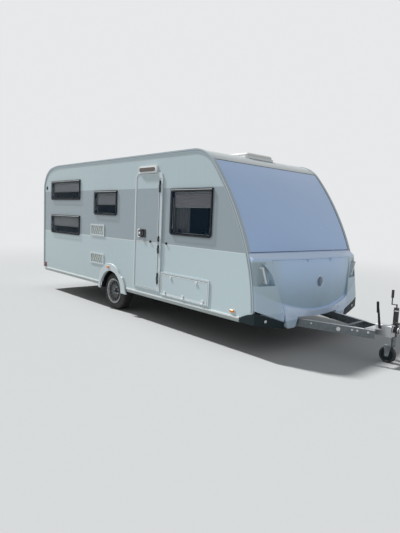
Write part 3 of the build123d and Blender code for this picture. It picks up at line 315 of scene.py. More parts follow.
@finish
def front_gelcoat(s):
    """Smooth moulded front; its blue cast is painted shade with the sky's reflection on a white panel."""
    colour = rgb(*settings().colours.front)
    s.surface({
        "Base Color": weathered(s, colour),
        "Roughness": 0.20 + s.noise(6.0, 4.0) * 0.10,
        "Coat Weight": 0.45,
        "Coat Roughness": 0.08,
        "Normal": peel(s, 0.03, 20.0),
    })


@finish
def roof_gelcoat(s):
    """Smooth grey-white roof sheet with settled dust."""
    dust = s.rise(s.noise(2.4, 6.0, 0.6), 0.42, 0.72)
    s.surface({
        "Base Color": s.mix(dust * 0.25, rgb(0.44, 0.48, 0.49), rgb(0.38, 0.38, 0.35)),
        "Roughness": 0.38 + dust * 0.2,
        "Coat Weight": 0.2,
        "Coat Roughness": 0.2,
        "Normal": peel(s, 0.05),
    })


@finish
def rear_gelcoat(s):
    """Smooth rear sheet in the colour of the sides, with road dust."""
    s.surface({
        "Base Color": weathered(s, rgb(*settings().colours.side), 1.4),
        "Roughness": 0.26 + s.noise(6.0, 4.0) * 0.12,
        "Coat Weight": 0.3,
        "Coat Roughness": 0.1,
        "Normal": peel(s, 0.04, 24.0),
    })


@finish
def cabin_floor(s):
    """Vinyl planks on the top of the floor panel, dark board under it."""
    at = s.stretched((1.0, 1.0, 0.0))
    sockets = {"Vector": at, "Color1": rgb(0.30, 0.22, 0.15), "Color2": rgb(0.36, 0.27, 0.19)}
    sockets.update({"Mortar": rgb(0.10, 0.07, 0.05), "Scale": 1.0, "Mortar Size": 0.0015})
    sockets.update({"Brick Width": 0.9, "Row Height": 0.12})
    planks = s.add("ShaderNodeTexBrick", sockets=sockets)
    grain = s.noise(14.0, 6.0, 0.6, at=s.stretched((0.6, 9.0, 1.0)))
    top = s.rise(s.z, FLOOR_TOP - 0.004, FLOOR_TOP - 0.001)
    wood = s.mix(grain * 0.5, planks, rgb(0.22, 0.15, 0.10))
    s.surface({
        "Base Color": s.mix(top, rgb(0.045, 0.04, 0.035), wood),
        "Roughness": 0.8 - top * 0.35,
        "Normal": s.bump(grain, 0.001, 0.2),
    })


@finish
def edge_aluminium(s):
    """Powder-coated edge moulding with the grey filler in its groove."""
    depth = abs(s.y)
    filler = s.within(depth, HALF + 0.0034, HALF + 0.0046, 0.0003)
    dull = s.noise(5.0, 4.0)
    base = s.mix(dull * 0.5, rgb(0.38, 0.45, 0.49), rgb(0.46, 0.53, 0.56))
    s.surface({
        "Base Color": s.mix(filler, base, rgb(0.26, 0.30, 0.33)),
        "Roughness": 0.36 + dull * 0.15,
        "Metallic": 0.08 * (1 - filler),
        "Normal": peel(s, 0.05),
    })


@finish
def skirt_aluminium(s):
    """Skirt below the walls, its face painted grey as shade under its white rail on top, dusty from the road.
    """
    splash = (1 - s.rise(s.z, WALL_FOOT - 0.07, WALL_FOOT)) * s.rise(s.noise(11.0, 6.0, 0.65), 0.35, 0.75)
    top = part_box("side_skirts")[1].z
    # Painted shade: below its white rail the skirt's face is grey.
    base = s.mix(s.rise(s.z, top - 0.024, top - 0.021), rgb(0.40, 0.46, 0.46), rgb(0.72, 0.75, 0.74))
    s.surface({
        "Base Color": s.mix(splash * 0.5, base, rgb(0.30, 0.31, 0.28)),
        "Roughness": 0.33 + splash * 0.3,
        "Coat Weight": 0.15,
        "Normal": peel(s, 0.04),
    })


@finish
def white_gloss(s):
    """Gloss white moulded plastic with faint flow marks."""
    cloud = s.noise(3.0, 4.0)
    grime = s.rise(s.noise(18.0, 5.0, 0.6), 0.55, 0.8) * (1 - s.rise(s.z, 0.40, 1.3))
    base = s.mix(cloud * 0.4, rgb(0.72, 0.76, 0.77), rgb(0.66, 0.70, 0.71))
    s.surface({
        "Base Color": s.mix(grime * 0.25, base, rgb(0.45, 0.43, 0.38)),
        "Roughness": 0.22 + cloud * 0.10,
        "Coat Weight": 0.3,
        "Coat Roughness": 0.1,
        "Normal": peel(s, 0.03, 90.0),
    })


@finish
def frame_moulding(s):
    """Off-white moulded frames, a little duller than the walls' white trim: the white darkened as painted
    shade.
    """
    cloud = s.noise(4.0, 4.0)
    grime = s.rise(s.noise(22.0, 5.0, 0.6), 0.55, 0.8)
    # The white is darkened here as painted shade.
    base = s.mix(cloud * 0.4, rgb(0.57, 0.64, 0.67), rgb(0.51, 0.58, 0.60))
    s.surface({
        "Base Color": s.mix(grime * 0.2, base, rgb(0.40, 0.40, 0.36)),
        "Roughness": 0.26 + cloud * 0.10,
        "Coat Weight": 0.2,
        "Normal": peel(s, 0.03, 90.0),
    })


@finish
def locker_moulding(s):
    """The big front moulding, white under painted light: a blue cast of shade and sky reflection, painted
    shade with road film in the hollow of the lid, painted highlights on the lip and the top shelf, greyer
    shaded flanks and foot, and painted shade in the lamp scoops.
    """
    across = abs(s.y)
    above_lip = s.rise(s.z - s.y * s.y * LIP_BEND, *LIP_TOP_Z)
    above_foot = s.rise(s.z, *LIP_FOOT_Z)
    # Painted shade with road film: the hollow of the lid darkens towards the lip, mottled by noise.
    film = (1 - s.rise(s.z, 0.55, 1.12)) * above_lip
    # Painted shade darkens the recessed lamp scoops.
    scoop_shade = s.within(s.z, *SCOOP_Z, 0.012) * s.rise(across, 0.905, 0.925) * (s.x < SCOOP_X)
    # The locker's blue is painted shade with the sky's reflection on a white moulding.
    colour = settings().colours.locker
    # Painted highlight: the lip and the top shelf, facing up, are lightened as if lit by the sky.
    lip = (1 - above_lip) * (1 - s.rise(across, 0.66, 0.80)) * above_foot
    base = s.mix(film * (0.45 + 0.35 * s.noise(4.0, 5.0, 0.6)), rgb(*colour), rgb(0.25, 0.36, 0.39))
    base = s.mix(s.maximum(lip, s.rise(s.z, 1.165, 1.195)), base, rgb(0.66, 0.80, 1.0))
    # The flanks and the foot turn a greyer, less blue white: painted shade without the sky's reflection.
    ends = s.maximum(s.rise(across, 0.64, 0.90), 1 - above_foot) * (s.z < LID_TOP_Z)
    base = s.mix(ends * 0.62, base, rgb(0.46, 0.57, 0.60))
    s.surface({
        "Base Color": s.mix(scoop_shade * 0.50, base, rgb(0.20, 0.25, 0.24)),
        "Roughness": 0.34 + film * 0.12 + s.noise(20.0, 3.0) * 0.06,
        "Coat Weight": 0.15,
        "Coat Roughness": 0.25,
        "Normal": peel(s, 0.03, 14.0),
    })


@finish
def black_moulding(s):
    """Grained black plastic."""
    grain = s.noise(420.0, 2.0)
    s.surface({
        "Base Color": s.mix(s.noise(8.0, 4.0) * 0.5, rgb(0.007, 0.009, 0.011), rgb(0.020, 0.022, 0.024)),
        "Roughness": 0.42 + grain * 0.15,
        "Specular IOR Level": 0.30,
        "Normal": s.bump(grain, 0.0006, 0.3),
    })


@finish
def grey_moulding(s):
    """Dark grey grained corner plastic, greyed by the sun."""
    grain = s.cells(300.0)
    sun = s.noise(5.0, 5.0, 0.6)
    s.surface({
        "Base Color": s.mix(sun * 0.7, rgb(0.004, 0.014, 0.018), rgb(0.012, 0.026, 0.031)),
        "Roughness": 0.48 + sun * 0.15,
        "Specular IOR Level": 0.25,
        "Normal": s.bump(grain, 0.0008, 0.35),
    })


@finish
def galvanised_zinc(s):
    """Hot-dip zinc with its spangle and white bloom, and a painted highlight on the top face of the drawbar.
    """
    tint = s.cells(34.0, output=1)
    flake = s.add("ShaderNodeSeparateXYZ", sockets={0: tint})
    bloom = s.rise(s.noise(7.0, 6.0, 0.65), 0.45, 0.75)
    base = s.mix(flake, rgb(0.14, 0.165, 0.18), rgb(0.20, 0.225, 0.24))
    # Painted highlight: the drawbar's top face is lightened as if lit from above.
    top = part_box("drawbar")[1].z
    top_highlight = s.rise(s.z, top - 0.0025, top - 0.0010) * (s.z < top + 0.02)
    base = s.mix(top_highlight, base, rgb(0.66, 0.68, 0.69))
    s.surface({
        "Base Color": s.mix(bloom * 0.3, base, rgb(0.30, 0.32, 0.32)),
        "Metallic": 0.75 - bloom * 0.35,
        "Roughness": 0.42 + flake * 0.10 + bloom * 0.15,
        "Normal": s.bump(flake, 0.0004, 0.15),
    })


@finish
def cast_silver(s):
    """Painted casting, with the black rubber gaiter between housing and coupling."""
    low, high = GAITER_X
    rubber = s.within(s.x, low, high, 0.001)
    pits = s.noise(160.0, 4.0, 0.6)
    casting = s.mix(pits, rgb(0.40, 0.41, 0.42), rgb(0.52, 0.53, 0.54))
    s.surface({
        "Base Color": s.mix(rubber, casting, rgb(0.03, 0.03, 0.03)),
        "Metallic": 0.6 * (1 - rubber),
        "Roughness": 0.40 + pits * 0.12 + rubber * 0.1,
        "Normal": s.bump(pits, 0.0008, 0.35),
    })


@finish
def wheel_paint(s):
    """Silver wheel enamel mottled by brake dust; the dish inside its outer ring is painted dark as shade."""
    dust = s.rise(s.noise(22.0, 6.0, 0.65), 0.40, 0.75)
    flat = s.stretched((1.0, 0.0, 1.0))
    centre = (AXLE_X, 0.0, AXLE_Z)
    radius = s.add("ShaderNodeVectorMath", {"operation": "DISTANCE"}, {0: flat, 1: centre}, 1)
    # Painted shade: the dish between hub and rim is darkened nearly to black, and the enamel inside the outer
    # ring is painted darker.
    dish_shade = s.within(radius, 0.105, 0.176, 0.008) * 0.80
    base = s.mix(s.rise(radius, 0.165, 0.180), rgb(0.14, 0.15, 0.16), rgb(0.40, 0.42, 0.43))
    base = s.mix(dust * 0.5, base, rgb(0.07, 0.07, 0.065))
    s.surface({
        "Base Color": s.mix(dish_shade, base, rgb(0.020, 0.022, 0.024)),
        "Metallic": 0.35,
        "Roughness": 0.42 + dust * 0.25,
        "Normal": peel(s, 0.04, 120.0),
    })


@finish
def tyre_rubber(s):
    """Worn tyre rubber with dry dust in the tread."""
    across = abs(abs(s.y) - WHEEL_Y)
    tread = s.rise(s.noise(30.0, 6.0, 0.6), 0.35, 0.8)
    s.surface({
        "Base Color": s.mix(tread * 0.55, rgb(0.022, 0.022, 0.023), rgb(0.075, 0.070, 0.062)),
        "Roughness": 0.62 + across * 1.2 + tread * 0.1,
        "Normal": s.bump(s.noise(300.0, 3.0), 0.0006, 0.4),
    })


@finish
def soft_rubber(s):
    """Black sealing rubber."""
    bloom = s.noise(40.0, 4.0)
    s.surface({
        "Base Color": s.mix(bloom * 0.6, rgb(0.018, 0.018, 0.019), rgb(0.05, 0.05, 0.05)),
        "Roughness": 0.55 + bloom * 0.15,
        "Normal": s.bump(bloom, 0.0006, 0.2),
    })


@finish
def tinted_acrylic(s):
    """Dark blue-grey acrylic of the windows."""
    film = s.noise(5.0, 5.0, 0.6)
    s.surface({
        "Base Color": s.mix(film * 0.5, rgb(0.002, 0.014, 0.030), rgb(0.006, 0.024, 0.042)),
        "Roughness": 0.04 + film * 0.05,
        "Alpha": 0.26 + film * 0.04,
        "Specular IOR Level": 0.12,
        "Specular Tint": rgb(0.25, 0.65, 1.0),
        "Normal": s.bump(s.noise(1.6, 1.0), 0.004, 0.10),
    })


@finish
def hatch_acrylic(s):
    """Milky roof light."""
    dust = s.rise(s.noise(9.0, 5.0, 0.6), 0.4, 0.75)
    s.surface({
        "Base Color": s.mix(dust * 0.4, rgb(0.62, 0.63, 0.62), rgb(0.45, 0.44, 0.40)),
        "Roughness": 0.22 + dust * 0.25,
        "Coat Weight": 0.3,
        "Normal": peel(s, 0.04),
    })


def lens(colour, name):
    """A ribbed lamp lens of one colour."""
    def make(s):
        facets = s.add("ShaderNodeTexWave", {"bands_direction": "X"}, {"Vector": s.place, "Scale": 60.0})
        s.surface({
            "Base Color": s.mix(facets * 0.6, rgb(*colour), shade(colour, 0.55)),
            "Roughness": 0.12 + facets * 0.08,
            "Coat Weight": 0.6,
            "Normal": s.bump(facets, 0.0008, 0.4),
        })
    FINISHES[name] = make


lens((0.78, 0.26, 0.020), "amber_lens")
lens((0.34, 0.020, 0.018), "red_lens")
lens((0.62, 0.62, 0.60), "clear_lens")


@finish
def lamp_housing(s):
    """Lamp bodies: amber side markers, dark rear clusters, and a white hood with its smoky lens."""
    rear = s.x < STERN
    lens_part = s.within(s.z, 2.283, 2.344) * (1 - s.rise(s.y, -HALF - 0.0360, -HALF - 0.0352))
    high = s.z > 2.0
    out = abs(s.y)
    arch_base = s.within(s.x, *ARCH_MARKER_X) * (1 - s.rise(out, HALF + 0.0305, HALF + 0.0315))
    marker = s.rise(out, HALF + 0.0065, HALF + 0.0075) * (1 - arch_base)
    glow = s.noise(70.0, 3.0)
    amber = s.mix(glow, rgb(0.78, 0.26, 0.02), rgb(0.56, 0.16, 0.01))
    smoky = s.mix(glow, rgb(0.060, 0.045, 0.036), rgb(0.12, 0.095, 0.080))
    dark = s.mix(glow * 0.5, rgb(0.030, 0.030, 0.032), rgb(0.06, 0.06, 0.06))
    low_lamp = s.mix(marker, rgb(0.70, 0.71, 0.71), amber)
    hood = s.mix(lens_part, rgb(0.80, 0.81, 0.81), smoky)
    s.surface({
        "Base Color": s.mix(rear, s.mix(high, low_lamp, hood), dark),
        "Roughness": 0.16 + glow * 0.08,
        "Coat Weight": 0.4,
        "Normal": s.bump(glow, 0.0005, 0.15),
    })


@finish
def handle_dish(s):
    """White bezel, dark dish and black pull of the door handle."""
    low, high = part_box("door_handle")
    pull_x = (high.x - 0.114, high.x - 0.082)
    pull = s.within(s.x, *pull_x) * (1 - s.rise(s.y, low.y + 0.0255, low.y + 0.0265))
    dish = s.within(s.y, low.y + 0.031, low.y + 0.036, 0.0003)
    bezel = s.mix(s.noise(20.0, 3.0) * 0.4, rgb(0.80, 0.82, 0.83), rgb(0.74, 0.76, 0.77))
    rose = s.x < low.x + 0.060
    base = s.mix(dish, s.mix(rose, rgb(0.020, 0.022, 0.024), bezel), rgb(0.030, 0.032, 0.035))
    s.surface({
        "Base Color": s.mix(pull, base, rgb(0.03, 0.03, 0.032)),
        "Roughness": 0.28 + pull * 0.12,
        "Coat Weight": 0.2,
        "Normal": peel(s, 0.03, 120.0),
    })


@finish
def black_enamel(s):
    """Gloss black enamel, rubbed by hands and straps."""
    wear = s.rise(s.noise(30.0, 5.0, 0.6), 0.5, 0.8)
    s.surface({
        "Base Color": s.mix(wear * 0.4, rgb(0.014, 0.015, 0.017), rgb(0.07, 0.07, 0.07)),
        "Roughness": 0.24 + wear * 0.25,
        "Coat Weight": 0.3,
        "Normal": peel(s, 0.04, 120.0),
    })


@finish
def vent_liner(s):
    """Pale plastic behind the slats of a vent, with lint."""
    lint = s.rise(s.noise(45.0, 5.0, 0.6), 0.45, 0.75)
    s.surface({
        "Base Color": s.mix(lint * 0.5, rgb(0.66, 0.67, 0.61), rgb(0.50, 0.49, 0.43)),
        "Roughness": 0.5 + lint * 0.2,
        "Normal": peel(s, 0.05, 150.0),
    })


@finish
def bright_steel(s):
    """Zinc-plated bolts, catches and pins."""
    brushed = s.noise(260.0, 3.0, at=s.stretched((1.0, 1.0, 6.0)))
    s.surface({
        "Base Color": s.mix(brushed, rgb(0.56, 0.57, 0.58), rgb(0.70, 0.71, 0.72)),
        "Metallic": 0.9,
        "Roughness": 0.26 + brushed * 0.16,
        "Normal": s.bump(brushed, 0.0003, 0.15),
    })


@finish
def satin_aluminium(s):
    """Anodised trim."""
    brushed = s.noise(90.0, 3.0, at=s.stretched((0.3, 8.0, 8.0)))
    s.surface({
        "Base Color": s.mix(brushed, rgb(0.50, 0.51, 0.52), rgb(0.62, 0.63, 0.64)),
        "Metallic": 0.75,
        "Roughness": 0.30 + brushed * 0.12,
        "Normal": s.bump(brushed, 0.0003, 0.1),
    })


@finish
def blue_enamel(s):
    """Dark blue enamel of the plain cap on the locker lid."""
    cloud = s.noise(60.0, 4.0)
    s.surface({
        "Base Color": s.mix(cloud * 0.6, rgb(0.020, 0.075, 0.18), rgb(0.04, 0.13, 0.27)),
        "Roughness": 0.22 + cloud * 0.10,
        "Coat Weight": 0.5,
        "Normal": peel(s, 0.03, 150.0),
    })


@finish
def blank_plate(s):
    """Blank reflective plate sheet."""
    beads = s.cells(900.0)
    s.surface({
        "Base Color": s.mix(beads * 0.3, rgb(0.78, 0.79, 0.78), rgb(0.66, 0.67, 0.66)),
        "Roughness": 0.34 + beads * 0.1,
        "Coat Weight": 0.3,
        "Normal": s.bump(beads, 0.0003, 0.2),
    })


@finish
def cabinet_laminate(s):
    """Pale wood laminate of the furniture."""
    grain = s.noise(5.0, 7.0, 0.62, at=s.stretched((1.5, 1.5, 14.0)))
    fibre = s.noise(90.0, 3.0, at=s.stretched((1.0, 1.0, 0.12)))
    base = s.mix(grain, rgb(0.46, 0.34, 0.23), rgb(0.33, 0.22, 0.14))
    s.surface({
        "Base Color": s.mix(fibre * 0.35, base, rgb(0.55, 0.43, 0.31)),
        "Roughness": 0.36 + fibre * 0.12,
        "Normal": s.bump(fibre, 0.0004, 0.2),
    })


@finish
def cabinet_front(s):
    """Cream lacquered cupboard fronts."""
    cloud = s.noise(12.0, 4.0)
    s.surface({
        "Base Color": s.mix(cloud * 0.5, rgb(0.70, 0.67, 0.60), rgb(0.62, 0.59, 0.52)),
        "Roughness": 0.24 + cloud * 0.1,
        "Coat Weight": 0.3,
        "Normal": peel(s, 0.03, 90.0),
    })


def cloth(s, warp_colour, weft_colour, threads):
    """A plain weave whose threads run along the length and the width or height of the piece."""
    at = s.stretched((threads, threads, threads))
    weave = s.add("ShaderNodeTexChecker", sockets={"Vector": at, "Scale": 1.0}, output=1)
    slub = s.noise(threads * 0.08, 4.0, 0.6)
    base = s.mix(weave, warp_colour, weft_colour)
    s.surface({
        "Base Color": s.mix(slub * 0.5, base, s.mix(0.3, warp_colour, rgb(0.0, 0.0, 0.0))),
        "Roughness": 0.82 + slub * 0.12,
        "Sheen Weight": 0.25,
        "Normal": s.bump(weave * 0.6 + slub, 0.0012, 0.5),
    })


@finish
def cushion_cloth(s):
    """Grey-brown woven upholstery."""
    cloth(s, rgb(0.30, 0.27, 0.24), rgb(0.38, 0.35, 0.31), 320.0)


@finish
def curtain_cloth(s):
    """Grey voile of the side curtains."""
    cloth(s, rgb(0.36, 0.37, 0.38), rgb(0.31, 0.32, 0.33), 500.0)


@finish
def blind_cloth(s):
    """Pleated blind fabric with a pearl backing, paler towards the rear as a painted reflection."""
    # Painted reflection: the blinds grow paler towards the rear, standing in for the sky's reflection in the
    # panes.
    reflection_fade = s.rise(s.x, -1.6, 0.6)
    pearl = s.mix(reflection_fade, rgb(0.96, 0.97, 0.98), rgb(0.84, 0.81, 0.83))
    cloth(s, pearl, s.mix(reflection_fade, rgb(0.90, 0.92, 0.93), rgb(0.78, 0.75, 0.77)), 700.0)


class Tree(Nodes):
    """A Geometry Nodes tree with named inputs, which ends in realized geometry of one material."""

    def __init__(self, name, inputs):
        super().__init__(bpy.data.node_groups.new(name, "GeometryNodeTree"))
        face = self.tree.interface
        face.new_socket("Geometry", in_out="OUTPUT", socket_type="NodeSocketGeometry")
        self.identifiers = {}
        for title, kind in {"Geometry": "Geometry", **inputs, "Material": "Material"}.items():
            socket = face.new_socket(title, in_out="INPUT", socket_type="NodeSocket" + kind)
            self.identifiers[title] = socket.identifier
        self.entry = self.tree.nodes.new("NodeGroupInput")

    def given(self, title):
        """One named input."""
        return Link(self, self.entry.outputs[title])

    def vector(self, x=0.0, y=0.0, z=0.0):
        """Three numbers or links as a vector."""
        return self.add("ShaderNodeCombineXYZ", sockets={0: x, 1: y, 2: z})

    def close(self, geometry):
        """Realize what the tree made and give it the material."""
        solid = self.add("GeometryNodeRealizeInstances", sockets={0: geometry})
        solid = self.add("GeometryNodeSetMaterial", sockets={0: solid, "Material": self.given("Material")})
        exit_node = self.tree.nodes.new("NodeGroupOutput")
        self.tree.links.new(solid.socket, exit_node.inputs[0])
        return self

    def grow(self, mesh, values):
        """Run the tree on a mesh and give back the plain mesh that it makes."""
        host = bpy.data.objects.new(mesh.name, mesh)
        bpy.context.scene.collection.objects.link(host)
        modifier = host.modifiers.new("grown", "NODES")
        modifier.node_group = self.tree
        for title, value in values.items():
            modifier[self.identifiers[title]] = value
        graph = bpy.context.evaluated_depsgraph_get()
        made = bpy.data.meshes.new_from_object(host.evaluated_get(graph))
        bpy.data.objects.remove(host)
        return made


def head_tree():
    """Screw and bolt heads on a cloud of points, each turned by chance about its own shank."""
    t = Tree("heads on points", {"Radius": "Float", "Height": "Float", "Sides": "Int",
                                 "Direction": "Rotation", "Seed": "Int"})
    radius, height = t.given("Radius"), t.given("Height")
    cone = {"Vertices": t.given("Sides"), "Depth": height}
    cone.update({"Radius Top": radius * 0.72, "Radius Bottom": radius})
    head = t.add("GeometryNodeMeshCone", sockets=cone)
    spin = t.add("FunctionNodeRandomValue", {"data_type": "FLOAT"},
                 {2: 0.0, 3: math.tau, "Seed": t.given("Seed")}, 1)
    about = t.add("FunctionNodeEulerToRotation", sockets={0: t.vector(z=spin)})
    turn = t.add("FunctionNodeRotateRotation", {"rotation_space": "LOCAL"},
                 {0: t.given("Direction"), 1: about})
    heads = t.add("GeometryNodeInstanceOnPoints",
                  sockets={"Points": t.given("Geometry"), "Instance": head, "Rotation": turn})
    return t.close(heads)


def row_tree():
    """A mesh repeated along a straight row."""
    t = Tree("row", {"Count": "Int", "Step": "Vector"})
    line = t.add("GeometryNodeMeshLine", {"mode": "OFFSET"},
                 {"Count": t.given("Count"), "Offset": t.given("Step")})
    sockets = {"Points": line, "Instance": t.given("Geometry")}
    return t.close(t.add("GeometryNodeInstanceOnPoints", sockets=sockets))


def wheel_tree():
    """A mesh repeated about an axle that runs along Y through a centre."""
    t = Tree("about an axle", {"Count": "Int", "Centre": "Vector"})
    points = t.add("GeometryNodePoints", sockets={"Count": t.given("Count"), "Position": t.given("Centre")})
    index = t.add("GeometryNodeInputIndex")
    turn = t.add("FunctionNodeEulerToRotation", sockets={0: t.vector(y=index * math.tau / t.given("Count"))})
    made = t.add("GeometryNodeInstanceOnPoints",
                 sockets={"Points": points, "Instance": t.given("Geometry"), "Rotation": turn})
    return t.close(made)


def pleat_tree():
    """A flat strip folded into pleats across its height, with every second fold standing out."""
    t = Tree("pleats", {"Pleats": "Int", "Drop": "Float", "Depth": "Float"})
    place = t.add("GeometryNodeInputPosition")
    z = t.add("ShaderNodeSeparateXYZ", sockets={0: place}, output=2)
    folds = abs(z) / t.given("Drop") * t.given("Pleats") * 2
    rank = t.add("ShaderNodeMath", {"operation": "ROUND"}, {0: folds})
    out = (rank % 2) * t.given("Depth")
    sockets = {"Geometry": t.given("Geometry"), "Offset": t.vector(y=out)}
    return t.close(t.add("GeometryNodeSetPosition", sockets=sockets))


TREES = {}


def tree(make):
    """The tree of a maker, built on first use."""
    if make.__name__ not in TREES:
        TREES[make.__name__] = make()
    return TREES[make.__name__]


def plain_mesh(bm):
    """A mesh from a bmesh, left as it is."""
    mesh = bpy.data.meshes.new("part")
    bm.to_mesh(mesh)
    bm.free()
    return mesh


def mesh_of(bm):
    """A mesh from a bmesh, with normals outward."""
    bmesh.ops.remove_doubles(bm, verts=bm.verts, dist=1e-6)
    bmesh.ops.recalc_face_normals(bm, faces=bm.faces)
    return plain_mesh(bm)


def joined(meshes):
    """One bmesh from several meshes."""
    bm = bmesh.new()
    for mesh in meshes:
        bm.from_mesh(mesh)
    return bm


def piece(name, mesh, body, finish_name, bevel=0.0, smooth=35.0):
    """A finished piece that rides on a body, in one finish, with its edges eased."""
    mesh.name = name
    mesh.materials.clear()
    mesh.materials.append(material(finish_name))
    made = bpy.data.objects.new(name, mesh)
    bpy.context.scene.collection.objects.link(made)
    for polygon in mesh.polygons:
        polygon.material_index = 0
    mesh.shade_smooth()
    mesh.set_sharp_from_angle(angle=math.radians(smooth))
    if bevel:
        rounding = made.modifiers.new("eased edges", "BEVEL")
        rounding.width = bevel
        rounding.segments = 2
        rounding.angle_limit = math.radians(40)
        rounding.harden_normals = True
    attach(made, body)
    return made


def slab(lo, hi):
    """A block between two corners."""
    bm = bmesh.new()
    bmesh.ops.create_cube(bm, size=1.0)
    lo, hi = Vector(lo), Vector(hi)
    for vertex in bm.verts:
        vertex.co = Vector((lo[i] + hi[i]) / 2 + vertex.co[i] * (hi[i] - lo[i]) for i in range(3))
    return mesh_of(bm)


def plate(outline, along, low, high, hole=None):
    """An outline in two axes run along the third; a hole outline has as many points as the outline."""
    axes = [i for i in range(3) if i != along]
    bm = bmesh.new()
    rings = []
    for depth in (low, high):
        for path in (outline, hole) if hole else (outline,):
            ring = []
            for point in path:
                corner = [0.0, 0.0, 0.0]
                corner[axes[0]], corner[axes[1]], corner[along] = point[0], point[1], depth
                ring.append(bm.verts.new(corner))
            rings.append(ring)
    half = len(rings) // 2
    count = len(outline)
    for wall in range(half):
        for i in range(count):
            j = (i + 1) % count
            bm.faces.new((rings[wall][i], rings[wall][j], rings[wall + half][j], rings[wall + half][i]))
    for end in (0, half):
        if hole:
            for i in range(count):
                j = (i + 1) % count
                bm.faces.new((rings[end][i], rings[end][j], rings[end + 1][j], rings[end + 1][i]))
        else:
            bm.faces.new(rings[end])
    return mesh_of(bm)


def rounded(low, high, radius, steps=6):
    """The outline of a rectangle with round corners, from its low and high corner."""
    points = []
    corners = ((high[0], high[1], 0), (low[0], high[1], 90), (low[0], low[1], 180), (high[0], low[1], 270))
    for x, z, start in corners:
        cx = x - math.copysign(radius, x - (low[0] + high[0]) / 2)
        cz = z - math.copysign(radius, z - (low[1] + high[1]) / 2)
        for i in range(steps + 1):
            a = math.radians(start + 90 * i / steps)
            points.append((cx + radius * math.cos(a), cz + radius * math.sin(a)))
    return points


def turned(profile, steps=48, axis=1, centre=(0, 0, 0)):
    """A closed half section of radius and height, turned about an axis through a centre."""
    bm = bmesh.new()
    rings = []
    others = [i for i in range(3) if i != axis]
    for radius, height in profile:
        ring = []
        for i in range(steps if radius > 1e-6 else 1):
            a = math.tau * i / steps
            corner = [0.0, 0.0, 0.0]
            corner[others[0]], corner[others[1]] = radius * math.cos(a), radius * math.sin(a)
            corner[axis] = height
            ring.append(bm.verts.new(Vector(corner) + Vector(centre)))
        rings.append(ring)
    for a, b in zip(rings, rings[1:] + rings[:1]):
        for i in range(steps):
            j = (i + 1) % steps
            corners = [a[i % len(a)], a[j % len(a)], b[j % len(b)], b[i % len(b)]]
            corners = list(dict.fromkeys(corners))
            if len(corners) > 2:
                bm.faces.new(corners)
    return mesh_of(bm)


def tube(points, radius, sides=12):
    """A round bar through a few points, closed at both ends."""
    bm = bmesh.new()
    rings = []
    for i, point in enumerate(points):
        before = Vector(points[max(i - 1, 0)])
        after = Vector(points[min(i + 1, len(points) - 1)])
        heading = (after - before).normalized()
        turn = heading.to_track_quat("Z", "Y").to_matrix()
        rings.append([bm.verts.new(Vector(point) + turn @ Vector(
            (radius * math.cos(math.tau * k / sides), radius * math.sin(math.tau * k / sides), 0.0)))
            for k in range(sides)])
    for a, b in zip(rings, rings[1:]):
        for k in range(sides):
            j = (k + 1) % sides
            bm.faces.new((a[k], a[j], b[j], b[k]))
    bm.faces.new(rings[0])
    bm.faces.new(rings[-1])
    return mesh_of(bm)


def spots(points):
    """A mesh of loose points."""
    mesh = bpy.data.meshes.new("spots")
    mesh.from_pydata([tuple(p) for p in points], [], [])
    return mesh


def heads(points, normal, radius, height, sides=12, finish_name="bright_steel"):
    """Screw heads at points, standing up along a normal."""
    turn = Vector(normal).to_track_quat("Z", "Y").to_euler()
    values = {"Radius": radius, "Height": height, "Sides": sides, "Direction": turn, "Seed": 7,
              "Material": material(finish_name)}
    return tree(head_tree).grow(spots(points), values)


def islands(node):
    """The box of each separate solid in a CAD node."""
    bm = bmesh.new()
    bm.from_mesh(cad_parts[node].data)
    bmesh.ops.remove_doubles(bm, verts=bm.verts, dist=1e-5)
    left = set(bm.verts)
    boxes = []
    while left:
        seed = left.pop()
        group, edge = [seed], [seed]
        while edge:
            vertex = edge.pop()
            for link in vertex.link_edges:
                other = link.other_vert(vertex)
                if other in left:
                    left.remove(other)
                    group.append(other)
                    edge.append(other)
        lo = Vector(min(v.co[i] for v in group) for i in range(3))
        hi = Vector(max(v.co[i] for v in group) for i in range(3))
        boxes.append((lo, hi))
    bm.free()
    return sorted(boxes, key=lambda b: (round(b[0].y, 3), round(b[0].x, 3), round(b[0].z, 3)))


def hit(node, start, heading):
    """Where a straight line first meets a CAD node, and the normal there."""
    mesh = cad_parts[node].data
    search = BVHTree.FromPolygons([v.co for v in mesh.vertices], [p.vertices for p in mesh.polygons])
    place, normal, _, _ = search.ray_cast(Vector(start), Vector(heading))
    if place is None:
        raise RuntimeError(f"nothing of {node} lies ahead of {start}")
    return place, normal


def stood(mesh, place, normal):
    """A mesh that was drawn about the origin and up along Z, stood on a place along a normal."""
    mesh.transform(Matrix.Translation(place) @ normal.to_track_quat("Z", "Y").to_matrix().to_4x4())
    return mesh


# Wheel sizes and lamp places, read from the frame
WHEEL_LO, WHEEL_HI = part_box("tyre_right")
AXLE_X = (WHEEL_LO.x + WHEEL_HI.x) / 2
AXLE_Z = (WHEEL_LO.z + WHEEL_HI.z) / 2
TYRE_RADIUS = (WHEEL_HI.z - WHEEL_LO.z) / 2
TYRE_WIDE = WHEEL_HI.y - WHEEL_LO.y
WHEEL_Y = -(WHEEL_LO.y + WHEEL_HI.y) / 2
GAITER_X = (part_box("overrun_device")[1].x - 0.066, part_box("overrun_device")[1].x + 0.004)
LAMPS = islands("lamps")
MARKERS = [b for b in LAMPS if b[0].z < 2.0 and b[0].x > STERN + 1]
CLUSTERS = [b for b in LAMPS if b[1].x < STERN + 0.1]
ARCH_MARKER_X = (min(b[0].x for b in MARKERS) - 0.002, min(b[1].x for b in MARKERS) + 0.002)

